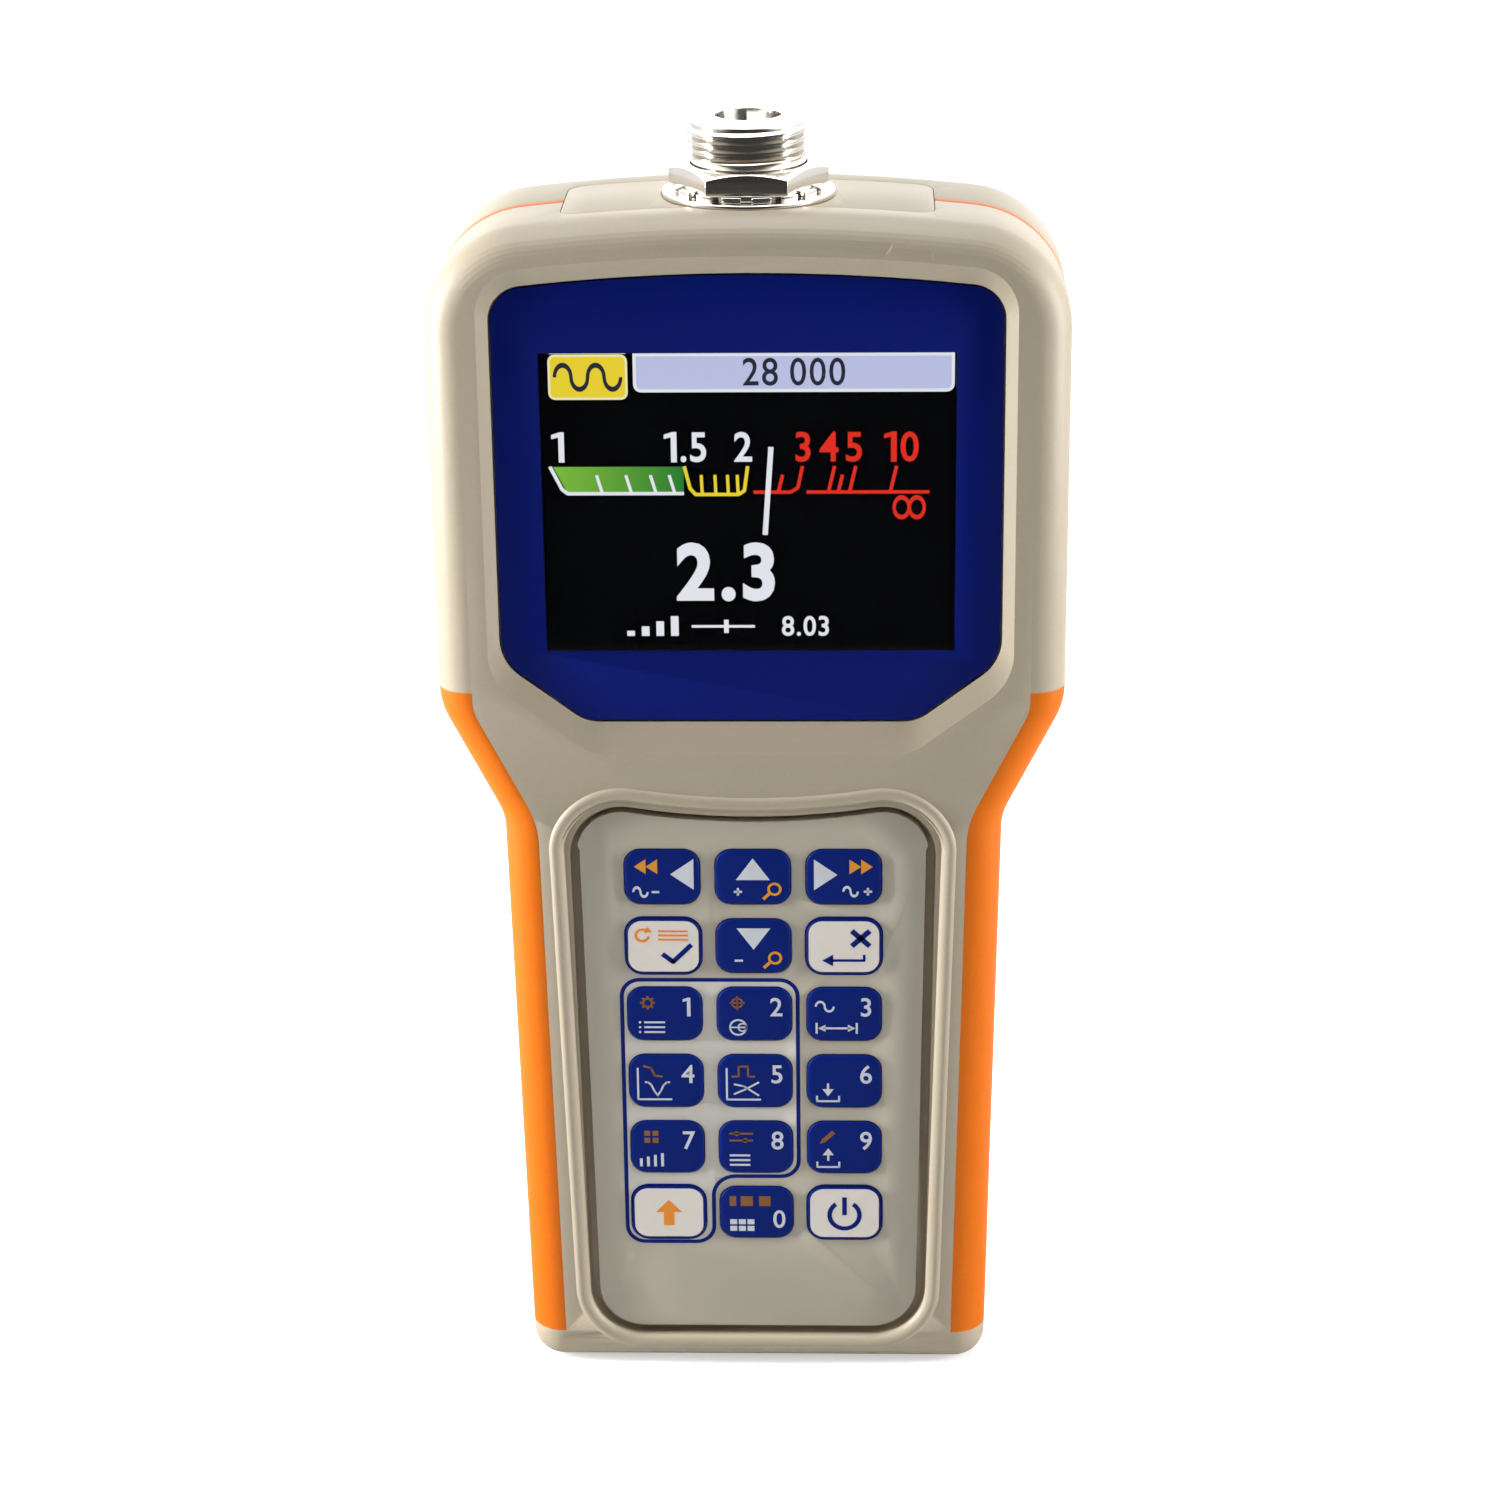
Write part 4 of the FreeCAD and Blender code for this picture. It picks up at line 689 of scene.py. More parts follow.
def drawDisplay():
    base, top, tick, lean = screen["baseLine"], screen["scaleTop"], screen["tickTop"], screen["lean"]
    white = bmesh.new()
    figures(white, "1", -24.3, screen["numberLine"], screen["digit"], 0.9, 0.016)
    figures(white, "1.5", -8.05, screen["numberLine"], screen["digit"], 0.9, 0.016)
    figures(white, "2", -0.66, screen["numberLine"], screen["digit"], 0.9, 0.016)
    line(white, [(-25.4, top), (-23.9, 1.7), (-23.2, base), (-8.3, base)], 0.45)
    for x in screen["whiteTicks"]:
        bar(white, (x, base), (x + lean, tick), 0.4)
    bar(white, (2.9, 7.3), (2.05, -4.4), 0.68)
    figures(white, "2.3", -3.1, -9.4, 8.0, 0.93, 0.034, 0.12)
    figures(white, "8.03", 7.15, -16.75, 2.75, 0.92, 0.016)
    for x, height in ((-15.5, 0.7), (-13.6, 1.3), (-11.7, 2.0), (-9.8, 2.7)):
        bar(white, (x, -18.1), (x, -18.1 + height), 1.0)
    bar(white, (-7.6, -16.8), (0.6, -16.8), 0.35)
    bar(white, (-3.1, -17.7), (-3.1, -15.9), 0.6)
    displayPiece("displayWhite", white, "glowWhite", "second")

    green = bmesh.new()
    patch(green, [(-25.0, 4.7), (-23.2, base), (-8.3, base), (-8.3, 4.7)])
    displayPiece("displayGreen", green, "glowGreen")

    yellow = bmesh.new()
    plate(yellow, -20.25, 16.5, 10.1, 5.9, 0.9)
    line(yellow, [(-8.2, top), (-7.5, 1.8), (-6.8, 1.0), (-1.3, 1.0), (-0.55, 1.5), (-0.1, top)], 0.45)
    for x in screen["yellowTicks"]:
        bar(yellow, (x, 1.0), (x - 0.1, tick), 0.4)
    displayPiece("displayYellow", yellow, "glowYellow")

    paper = bmesh.new()
    plate(paper, -20.25, 16.5, 10.1, 5.9, 0.9)
    bmesh.ops.inset_region(paper, faces=paper.faces[:], thickness=0.3, depth=0, use_even_offset=True,
                           use_boundary=True)
    bmesh.ops.delete(paper, geom=[face for face in paper.faces if len(face.verts) > 4], context="FACES")
    displayPiece("displayTagEdge", paper, "glowCream", "second")

    red = bmesh.new()
    for text, x in (("3", 6.98), ("4", 10.29), ("5", 13.47), ("10", 19.5)):
        figures(red, text, x, screen["numberLine"], screen["digit"], 0.9, 0.016)
    line(red, [(0.6, 1.3), (5.4, 1.3), (6.3, 1.9), (6.9, top)], 0.45)
    bar(red, (7.4, 1.3), (23.1, 1.3), 0.45)
    for x in screen["redLongTicks"]:
        bar(red, (x, 1.3), (x + 0.8, top), 0.45)
    for x in screen["redShortTicks"]:
        bar(red, (x, 1.3), (x + 0.55, tick), 0.45)
    for x in (19.55, 21.5):
        arc(red, x, -0.75, 0.95, 0.42, squeeze=1.4)
    displayPiece("displayRed", red, "glowRed")

    blueBar = bmesh.new()
    patch(blueBar, [(-14.5, 19.6), (-14.5, 14.5), (26.2, 14.5), (26.2, 19.6)])
    bottom = [vert for vert in blueBar.verts if vert.co.y < 15]
    bmesh.ops.bevel(blueBar, geom=bottom, offset=1.0, offset_type="OFFSET", affect="VERTICES", segments=4,
                    profile=0.5, material=-1, clamp_overlap=True)
    edge = blueBar.copy()
    displayPiece("displayBar", blueBar, "glowLavender")
    bmesh.ops.inset_region(edge, faces=edge.faces[:], thickness=0.4, depth=0, use_even_offset=True,
                           use_boundary=True)
    bmesh.ops.delete(edge, geom=[face for face in edge.faces if len(face.verts) > 4], context="FACES")
    displayPiece("displayBarEdge", edge, "glowWhite", "second")

    dark = bmesh.new()
    figures(dark, "28 000", 5.9, 17.15, 3.65, 0.88, 0.006)
    for step in range(4):
        arc(dark, -23.4 + 2.1 * step, 16.5, 1.05, 0.45, 0, 180 if step % 2 == 0 else -180, 1.5)
    displayPiece("displayDark", dark, "glowDark", "second")


drawDisplay()
print("display drawn")


# --- key caps and their prints ---

keyCap = {"shoulder": 0.28, "shoulderSteps": 3, "crownInset": 0.55, "crown": 0.05, "corner": 2.2,
          "face": (9.4, 7.35), "faceCorner": 1.85, "ring": (10.5, 8.55), "ringCorner": 2.55,
          "window": (10.24, 8.04), "inkThickness": 0.035, "inkSink": 0.01}
whiteKeys = ["key_accept", "key_reject", "key_function", "key_power"]
keyNames = whiteKeys + ["key_back", "key_up", "key_forward", "key_down"] + [f"key_{n}" for n in range(10)]


def triangleMark(sheet, width, height):
    patch(sheet, [(-width / 2, -height / 2), (width / 2, -height / 2), (0, height / 2)])


def seekMark(sheet, width, height):
    patch(sheet, [(-width / 2, 0), (0, -height / 2), (0, height / 2)])
    patch(sheet, [(0, 0), (width / 2, -height / 2), (width / 2, height / 2)])


def plusMark(sheet, width, height):
    bar(sheet, (-width / 2, 0), (width / 2, 0), 0.3)
    bar(sheet, (0, -height / 2), (0, height / 2), 0.3)


def minusMark(sheet, width, height):
    bar(sheet, (-width / 2, 0), (width / 2, 0), 0.3)


def lensMark(sheet, width, height):
    arc(sheet, width * 0.12, height * 0.14, width * 0.3, 0.34)
    bar(sheet, (-width * 0.14, -height * 0.12), (-width * 0.46, -height * 0.46), 0.42)


def waveMark(sheet, width, height):
    arc(sheet, -width / 4, 0, width / 4, 0.27, 0, 180, height / width * 2)
    arc(sheet, width / 4, 0, width / 4, 0.27, 0, -180, height / width * 2)


def repeatMark(sheet, width, height):
    arc(sheet, 0, 0, height / 2, 0.36, 60, 290)
    patch(sheet, [(height * 0.16, height * 0.2), (height * 0.78, height * 0.28),
                  (height * 0.36, height * 0.74)])


def checkMark(sheet, width, height):
    line(sheet, [(-width / 2, 0), (-width * 0.14, -height * 0.42), (width / 2, height / 2)], 0.66)


def crossMark(sheet, width, height):
    bar(sheet, (-width / 2, -height / 2), (width / 2, height / 2), 0.74)
    bar(sheet, (-width / 2, height / 2), (width / 2, -height / 2), 0.74)


def returnMark(sheet, width, height):
    line(sheet, [(width / 2, height / 2), (width / 2, 0), (-width * 0.3, 0)], 0.36)
    patch(sheet, [(-width / 2, 0), (-width * 0.24, -height / 2), (-width * 0.24, height / 2)])


def gearMark(sheet, width, height):
    arc(sheet, 0, 0, height * 0.3, height * 0.15)
    for turn in range(8):
        way = Vector((math.cos(turn * math.pi / 4), math.sin(turn * math.pi / 4)))
        bar(sheet, way * height * 0.33, way * height / 2, height * 0.15)


def targetMark(sheet, width, height):
    arc(sheet, 0, 0, height * 0.34, 0.22)
    bar(sheet, (-height / 2, 0), (height / 2, 0), 0.22)
    bar(sheet, (0, -height / 2), (0, height / 2), 0.22)


def listMark(sheet, width, height):
    for row in (-1, 0, 1):
        disc(sheet, -width * 0.44, row * height * 0.38, 0.17, 8)
        bar(sheet, (-width * 0.28, row * height * 0.38), (width / 2, row * height * 0.38), 0.26)


def polarMark(sheet, width, height):
    arc(sheet, 0, 0, height / 2, 0.24)
    arc(sheet, height * 0.25, 0, height / 4, 0.2)
    bar(sheet, (-height / 2, 0), (height / 2, 0), 0.2)


def rangeMark(sheet, width, height):
    bar(sheet, (-width * 0.34, 0), (width * 0.34, 0), 0.28)
    for side in (-1, 1):
        bar(sheet, (side * width / 2, -height / 2), (side * width / 2, height / 2), 0.28)
        patch(sheet, [(side * width * 0.46, 0), (side * width * 0.28, side * height * 0.32),
                      (side * width * 0.28, -side * height * 0.32)])


def axesMark(sheet, width, height):
    line(sheet, [(-width / 2, height / 2), (-width / 2, -height / 2), (width / 2, -height / 2)], 0.26)


def dipMark(sheet, width, height):
    points = [(width * (step / 8 - 0.5), height * (0.5 - math.exp(-((step - 4) / 1.6) ** 2)))
              for step in range(9)]
    line(sheet, points, 0.26)


def fallMark(sheet, width, height):
    line(sheet, [(-width / 2, height / 2), (-width * 0.1, height * 0.3), (width * 0.1, -height * 0.4),
                 (width / 2, -height / 2)], 0.28)


def crossedMark(sheet, width, height):
    line(sheet, [(-width / 2, -height * 0.4), (0, 0), (width / 2, height / 2)], 0.24)
    line(sheet, [(-width / 2, height * 0.35), (-width * 0.1, height * 0.2), (width / 2, -height / 2)], 0.24)


def pulseMark(sheet, width, height):
    line(sheet, [(-width / 2, -height / 2), (-width * 0.2, -height / 2), (-width * 0.2, height / 2),
                 (width * 0.2, height / 2), (width * 0.2, -height / 2), (width / 2, -height / 2)], 0.26)


def trayMark(sheet, width, height):
    line(sheet, [(-width / 2, -height * 0.1), (-width / 2, -height / 2), (width / 2, -height / 2),
                 (width / 2, -height * 0.1)], 0.27)


def downMark(sheet, width, height):
    bar(sheet, (0, height / 2), (0, 0), 0.3)
    patch(sheet, [(0, -height / 2), (width / 2, height * 0.05), (-width / 2, height * 0.05)])


def squaresMark(sheet, width, height):
    for x in (-1, 1):
        for y in (-1, 1):
            plate(sheet, x * width * 0.28, y * height * 0.28, width * 0.4, height * 0.4, 0)


def barsMark(sheet, width, height):
    for step in range(4):
        x = width * (step / 3 - 0.5)
        bar(sheet, (x, -height / 2), (x, height * (0.1 + 0.4 * step / 3)), 0.38)


def rowsMark(sheet, width, height):
    for row in (-1, 0, 1):
        bar(sheet, (-width / 2, row * height * 0.38), (width / 2, row * height * 0.38), 0.28)


def sliderMark(sheet, width, height):
    for row, knob in ((-1, 0.18), (1, -0.2)):
        bar(sheet, (-width / 2, row * height * 0.26), (width / 2, row * height * 0.26), 0.24)
        disc(sheet, knob * width, row * height * 0.26, 0.36, 12)


def pencilMark(sheet, width, height):
    bar(sheet, (-width * 0.22, -height * 0.22), (width * 0.4, height * 0.4), 0.6)
    patch(sheet, [(-width / 2, -height / 2), (-width * 0.06, -height * 0.32),
                  (-width * 0.32, -height * 0.06)])


def bandsMark(sheet, width, height):
    for x, share in ((-0.42, 0.16), (-0.08, 0.3), (0.36, 0.28)):
        plate(sheet, x * width, 0, share * width, height, 0)


def tableMark(sheet, width, height):
    for column in (-1, 0, 1):
        for row in (-1, 1):
            plate(sheet, column * width * 0.35, row * height * 0.27, width * 0.28, height * 0.4, 0)


def shiftMark(sheet, width, height):
    stem = width * 0.2
    barb = height * 0.02
    patch(sheet, [(-stem, -height / 2), (stem, -height / 2), (stem, barb), (width / 2, barb),
                  (0, height / 2), (-width / 2, barb), (-stem, barb)])


def powerMark(sheet, width, height):
    arc(sheet, 0, -height * 0.06, height * 0.42, 0.64, 125, 290)
    bar(sheet, (0, -height * 0.06), (0, height / 2), 0.64)


# key, ink, mark or digit, x and y from the key's middle, width, height, turn in degrees
keyPrints = [
    ("key_back", "orange", seekMark, -2.15, 1.55, 3.1, 2.1, 0),
    ("key_back", "white", triangleMark, 2.65, 0.45, 4.4, 3.1, 90),
    ("key_back", "white", waveMark, -2.9, -2.1, 1.9, 1.3, 0),
    ("key_back", "white", minusMark, -0.9, -2.1, 1.0, 1.0, 0),
    ("key_up", "white", triangleMark, 0.0, 1.2, 4.5, 3.1, 0),
    ("key_up", "white", plusMark, -2.0, -2.05, 1.1, 1.1, 0),
    ("key_up", "orange", lensMark, 2.55, -2.0, 2.6, 2.4, 0),
    ("key_forward", "orange", seekMark, 2.3, 1.55, 3.1, 2.1, 180),
    ("key_forward", "white", triangleMark, -2.4, 0.4, 4.4, 3.1, -90),
    ("key_forward", "white", waveMark, 0.9, -2.0, 1.9, 1.3, 0),
    ("key_forward", "white", plusMark, 3.2, -2.0, 1.1, 1.1, 0),
    ("key_accept", "amber", repeatMark, -2.8, 1.6, 1.9, 1.7, 0),
    ("key_accept", "amber", rowsMark, 1.3, 1.6, 4.0, 1.6, 0),
    ("key_accept", "blue", checkMark, 1.8, -1.1, 3.9, 2.7, 0),
    ("key_down", "white", triangleMark, 0.0, 1.1, 4.5, 3.1, 180),
    ("key_down", "white", minusMark, -2.0, -2.05, 1.1, 1.1, 0),
    ("key_down", "orange", lensMark, 2.55, -2.0, 2.6, 2.4, 0),
    ("key_reject", "blue", crossMark, 2.25, 1.2, 2.4, 2.2, 0),
    ("key_reject", "blue", returnMark, -0.1, -2.0, 5.6, 1.7, 0),
    ("key_1", "brown", gearMark, -2.3, 1.7, 2.0, 2.0, 0),
    ("key_1", "white", listMark, -1.8, -1.9, 3.6, 1.9, 0),
    ("key_2", "brown", targetMark, -2.3, 1.7, 2.0, 2.0, 0),
    ("key_2", "white", polarMark, -2.2, -1.9, 2.2, 2.2, 0),
    ("key_3", "white", waveMark, -2.6, 1.2, 2.4, 1.4, 0),
    ("key_3", "white", rangeMark, -1.0, -2.0, 5.4, 1.6, 0),
    ("key_4", "white", axesMark, -1.55, -0.35, 4.6, 4.7, 0),
    ("key_4", "brown", fallMark, -1.8, 1.5, 2.6, 1.6, 0),
    ("key_4", "white", dipMark, -1.2, -1.1, 3.4, 2.0, 0),
    ("key_5", "white", axesMark, -1.55, -0.35, 4.6, 4.7, 0),
    ("key_5", "brown", pulseMark, -1.6, 1.5, 3.2, 1.5, 0),
    ("key_5", "white", crossedMark, -1.2, -1.1, 3.4, 2.0, 0),
    ("key_6", "white", trayMark, -2.2, -1.9, 3.0, 2.0, 0),
    ("key_6", "white", downMark, -2.2, -1.2, 1.5, 1.9, 0),
    ("key_7", "brown", squaresMark, -2.2, 1.6, 2.0, 1.9, 0),
    ("key_7", "white", barsMark, -2.2, -1.9, 2.9, 2.0, 0),
    ("key_8", "brown", sliderMark, -2.0, 1.6, 3.2, 2.0, 0),
    ("key_8", "white", rowsMark, -2.2, -1.9, 2.8, 1.9, 0),
    ("key_9", "brown", pencilMark, -2.3, 1.6, 2.1, 2.0, 0),
    ("key_9", "white", trayMark, -2.2, -1.9, 3.0, 2.0, 0),
    ("key_9", "white", downMark, -2.2, -1.0, 1.5, 1.9, 180),
    ("key_0", "brown", bandsMark, -0.9, 1.8, 5.6, 1.5, 0),
    ("key_0", "white", tableMark, -2.0, -1.9, 3.4, 1.9, 0),
    ("key_function", "amber", shiftMark, 0.0, 0.0, 3.6, 3.9, 0),
    ("key_power", "blue", powerMark, 0.0, 0.0, 4.8, 4.9, 0),
]
digitPlaces = {str(digit): (2.95, 1.1) for digit in range(1, 10)}
digitPlaces["0"] = (3.1, -0.95)
digitSize = (2.75, 0.95, 0.01)
inks = {"orange": ("printOrange", "grip_rubber"), "brown": ("printBrown", "grip_rubber"),
        "amber": ("printAmber", "grip_rubber"), "white": ("printGrey", "key_white"),
        "blue": ("keyBlue", "key_blue")}


def makeKeyCap(name):
    low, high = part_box(name)
    size = (high - low) / mm
    cap = bmesh.new()
    plate(cap, 0, 0, size.x, size.z, keyCap["corner"], 8)
    raised = bmesh.ops.extrude_face_region(cap, geom=cap.faces[:])["geom"]
    lifted = [item for item in raised if isinstance(item, bmesh.types.BMVert)]
    bmesh.ops.translate(cap, vec=(0, 0, size.y), verts=lifted)
    top = [item for item in raised if isinstance(item, bmesh.types.BMFace)]
    bmesh.ops.bevel(cap, geom=list(top[0].edges), offset=keyCap["shoulder"], offset_type="OFFSET",
                    affect="EDGES", segments=keyCap["shoulderSteps"], profile=0.5, material=-1,
                    clamp_overlap=True)
    top = max(cap.faces, key=lambda face: (round(face.calc_center_median().z, 4), face.calc_area()))
    bmesh.ops.inset_region(cap, faces=[top], thickness=keyCap["crownInset"], depth=keyCap["crown"],
                           use_even_offset=True)
    bmesh.ops.recalc_face_normals(cap, faces=cap.faces)
    bmesh.ops.transform(cap, matrix=frontPlace(middleOf(name).x, middleOf(name).z, high.y), verts=cap.verts)
    finishPiece(name + "_cap", cap, "keyBlue", name, [name], math.radians(50))


def printKey(name):
    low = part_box(name)[0]
    middle = middleOf(name)
    level = low.y - (keyCap["crown"] - keyCap["inkSink"]) * mm
    sheets = {}
    for key, ink, mark, x, y, width, height, turn in keyPrints:
        if key != name:
            continue
        sheet = sheets.setdefault(ink, bmesh.new())
        before = set(sheet.verts)
        mark(sheet, width, height)
        made = [vert for vert in sheet.verts if vert not in before]
        place = Matrix.Translation((x, y, 0)) @ Matrix.Rotation(math.radians(turn), 4, "Z")
        bmesh.ops.transform(sheet, matrix=place, verts=made)
    if name[4:] in digitPlaces:
        x, y = digitPlaces[name[4:]]
        figures(sheets.setdefault("white", bmesh.new()), name[4:], x, y, *digitSize)
    if name in whiteKeys:
        face = bmesh.new()
        plate(face, 0, 0, *keyCap["face"], keyCap["faceCorner"], 8)
        printPiece(f"{name}_face", face, "keyWhite", frontPlace(middle.x, middle.z, level),
                   keyCap["inkThickness"], name)
        level -= keyCap["inkThickness"] / 2 * mm
    for ink, sheet in sheets.items():
        material, slotName = inks[ink]
        printPiece(f"{name}_{ink}_print", sheet, material, frontPlace(middle.x, middle.z, level),
                   keyCap["inkThickness"], name)


for keyName in keyNames:
    makeKeyCap(keyName)
    printKey(keyName)
print("key caps made and printed:", len(keyNames))

# the line printed round the keys that the function key changes
functionLine = {"corners": [(-18.1, 58.93), (6.1, 58.93), (6.1, 28.95), (-5.6, 28.95), (-5.6, 18.86),
                            (-18.1, 18.86)],
                "radius": 2.7, "width": 0.55, "thickness": 0.02, "sink": 0.005}


def printOnOverlay(name, sheet):
    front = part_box("keypad_overlay")[0].y + functionLine["sink"] * mm
    printPiece(name, sheet, "keyBlue", frontPlace(0, 0, front), functionLine["thickness"],
               "casing")


def makeFunctionLine():
    sheet = bmesh.new()
    patch(sheet, reversed(functionLine["corners"]))
    bmesh.ops.bevel(sheet, geom=sheet.verts[:], offset=functionLine["radius"], offset_type="OFFSET",
                    affect="VERTICES", segments=8, profile=0.5, material=-1, clamp_overlap=True)
    bmesh.ops.inset_region(sheet, faces=sheet.faces[:], thickness=functionLine["width"], depth=0,
                           use_even_offset=True, use_boundary=True)
    bmesh.ops.delete(sheet, geom=[face for face in sheet.faces if len(face.verts) > 4], context="FACES")
    printOnOverlay("functionLine", sheet)


def makeKeyRings():
    rings = bmesh.new()
    for name in whiteKeys:
        middle = middleOf(name)
        edge = bmesh.new()
        plate(edge, 0, 0, *keyCap["ring"], keyCap["ringCorner"], 8)
        inner = bmesh.new()
        plate(inner, 0, 0, *keyCap["window"], keyCap["ringCorner"] - 0.2, 8)
        bmesh.ops.delete(inner, geom=inner.faces[:], context="FACES_ONLY")
        bmesh.ops.delete(edge, geom=edge.faces[:], context="FACES_ONLY")
        joinSheet(edge, inner)
        bmesh.ops.bridge_loops(edge, edges=edge.edges[:])
        bmesh.ops.translate(edge, verts=edge.verts, vec=(middle.x / mm, middle.z / mm, 0))
        joinSheet(rings, edge)
    printOnOverlay("keyRings", rings)


makeFunctionLine()
makeKeyRings()
print("lines printed on the overlay")


# --- antenna jack ---

jack = {"root": 7.38, "crest": 7.94, "pitch": 25.4 / 24, "crestFlat": 0.1, "flank": 0.46, "steps": 72,
        "runOut": 0.5, "sunk": 0.1, "underNut": 0.2, "overNut": 0.05, "startTurn": 20, "soft": 0.12}
socketPin = {"inner": 0.83, "outer": 1.5, "chamfer": 0.3, "lip": 0.1, "slot": 16, "fingers": 4,
             "firstTurn": 45, "length": 5.0, "stem": 0.6, "stemHeight": 3.5}
ringEdges = {"jack_nut": ("jackNut", 0.14), "jack_washer": ("jackWasher", 0.16),
             "jack_lock_washer": ("jackLockWasher", 0.06)}


def closedSpin(shape, corners, start, sweep, steps, rise=0.0):
    verts = [shape.verts.new((radius, 0, height)) for radius, height in corners]
    face = shape.faces.new(verts)
    bmesh.ops.rotate(shape, verts=verts, cent=(0, 0, 0), matrix=Matrix.Rotation(math.radians(start), 3, "Z"))
    bmesh.ops.spin(shape, geom=[face, *face.edges, *verts], cent=(0, 0, 0), axis=(0, 0, 1),
                   dvec=(0, 0, rise / steps), angle=math.radians(sweep), steps=steps, use_merge=False,
                   use_duplicate=False)


def turnedShape(corners, steps):
    shape = bmesh.new()
    verts = [shape.verts.new((radius, 0, height)) for radius, height in corners]
    edges = [shape.edges.new(pair) for pair in zip(verts, verts[1:] + verts[:1])]
    bmesh.ops.spin(shape, geom=[*verts, *edges], cent=(0, 0, 0), axis=(0, 0, 1), dvec=(0, 0, 0),
                   angle=math.radians(360), steps=steps, use_merge=True, use_duplicate=False)
    bmesh.ops.remove_doubles(shape, verts=shape.verts, dist=0.0005)
    bmesh.ops.recalc_face_normals(shape, faces=shape.faces)
    return shape


def inMetres(shape):
    bmesh.ops.scale(shape, vec=(mm, mm, mm), verts=shape.verts)
    return shape


def makeJackBarrel():
    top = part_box("jack_body")[1].z
    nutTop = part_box("jack_nut")[1].z
    core = copyOf("jack_body")
    share = jack["root"] / jack["crest"]
    for vert in core.verts:
        radius = math.hypot(vert.co.x, vert.co.y) / mm
        if radius > jack["root"] - jack["sunk"] and vert.co.z > nutTop - jack["underNut"] * mm:
            vert.co.x *= share
            vert.co.y *= share
    softenEdges(core, jack["soft"] * mm, 3)
    finishPiece("jackBody", core, "nickel", "casing", ["jack_body"])

    pitch, crest, inner = jack["pitch"], jack["crest"], jack["root"] - jack["sunk"]
    flank, crestFlat = pitch * jack["flank"], pitch * jack["crestFlat"]
    turns = ((top - nutTop) / mm - jack["runOut"] - pitch) / pitch
    bottom = nutTop / mm + jack["overNut"] + flank
    thread = bmesh.new()
    ridge = [(inner, bottom - flank), (crest, bottom - crestFlat), (crest, bottom + crestFlat),
             (inner, bottom + flank)]
    closedSpin(thread, ridge, jack["startTurn"], 360 * turns, round(jack["steps"] * turns), pitch * turns)
    bmesh.ops.recalc_face_normals(thread, faces=thread.faces)
    finishPiece("jackThread", inMetres(thread), "nickel", "casing", (), math.radians(25))


def makeJackContact():
    low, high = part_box("jack_contact")
    top, foot = high.z / mm, low.z / mm
    split = top - socketPin["length"]
    outer, inner, chamfer, lip = (socketPin[size] for size in ("outer", "inner", "chamfer", "lip"))
    stem, shoulder = socketPin["stem"], foot + socketPin["stemHeight"]
    finger = [(inner, split), (outer, split), (outer, top - chamfer), (outer - chamfer, top),
              (inner + lip, top), (inner, top - lip)]
    step = 360 / socketPin["fingers"]
    fingers = bmesh.new()
    for number in range(socketPin["fingers"]):
        start = number * step + socketPin["firstTurn"] + socketPin["slot"] / 2
        closedSpin(fingers, finger, start, step - socketPin["slot"], 10)
    joinSheet(fingers, turnedShape([(0, foot), (stem, foot), (stem, shoulder), (outer, shoulder),
                                    (outer, split), (0, split)], 32))
    bmesh.ops.recalc_face_normals(fingers, faces=fingers.faces)
    finishPiece("jackContact", inMetres(fingers), "gold", "casing", ["jack_contact"])


def makeJackRings():
    for nodeName, (name, soft) in ringEdges.items():
        shape = copyOf(nodeName)
        softenEdges(shape, soft * mm, 3, math.radians(25))
        finishPiece(name, shape, "nickel", "casing", [nodeName], math.radians(30))


makeJackBarrel()
makeJackContact()
makeJackRings()
print("antenna jack made")


# --- screws and cells ---

# the recess is given for the larger screw, and the smaller one has it to scale
crossScrew = {"rim": 0.3, "dome": 0.18, "arm": 1.35, "armWidth": 0.42, "recess": 1.1, "taper": 0.45,
              "forRadius": 2.6, "forHeight": 1.9, "tip": 0.4, "tipShare": 0.4, "turnStep": 1.1}
screwSizes = {
    "caseScrews": {"node": "case_screws", "head": 2.6, "headHeight": 1.9, "shank": 1.4, "length": 20.0},
    "boardScrews": {"node": "board_screws", "head": 1.9, "headHeight": 1.4, "shank": 1.0, "length": 6.0},
}


def pulledRing(shape, edges, share, drop):
    made = bmesh.ops.extrude_edge_only(shape, edges=edges)["geom"]
    verts = [item for item in made if isinstance(item, bmesh.types.BMVert)]
    bmesh.ops.scale(shape, vec=(share, share, 1), verts=verts)
    bmesh.ops.translate(shape, vec=(0, 0, -drop), verts=verts)
    return [item for item in made if isinstance(item, bmesh.types.BMEdge)]


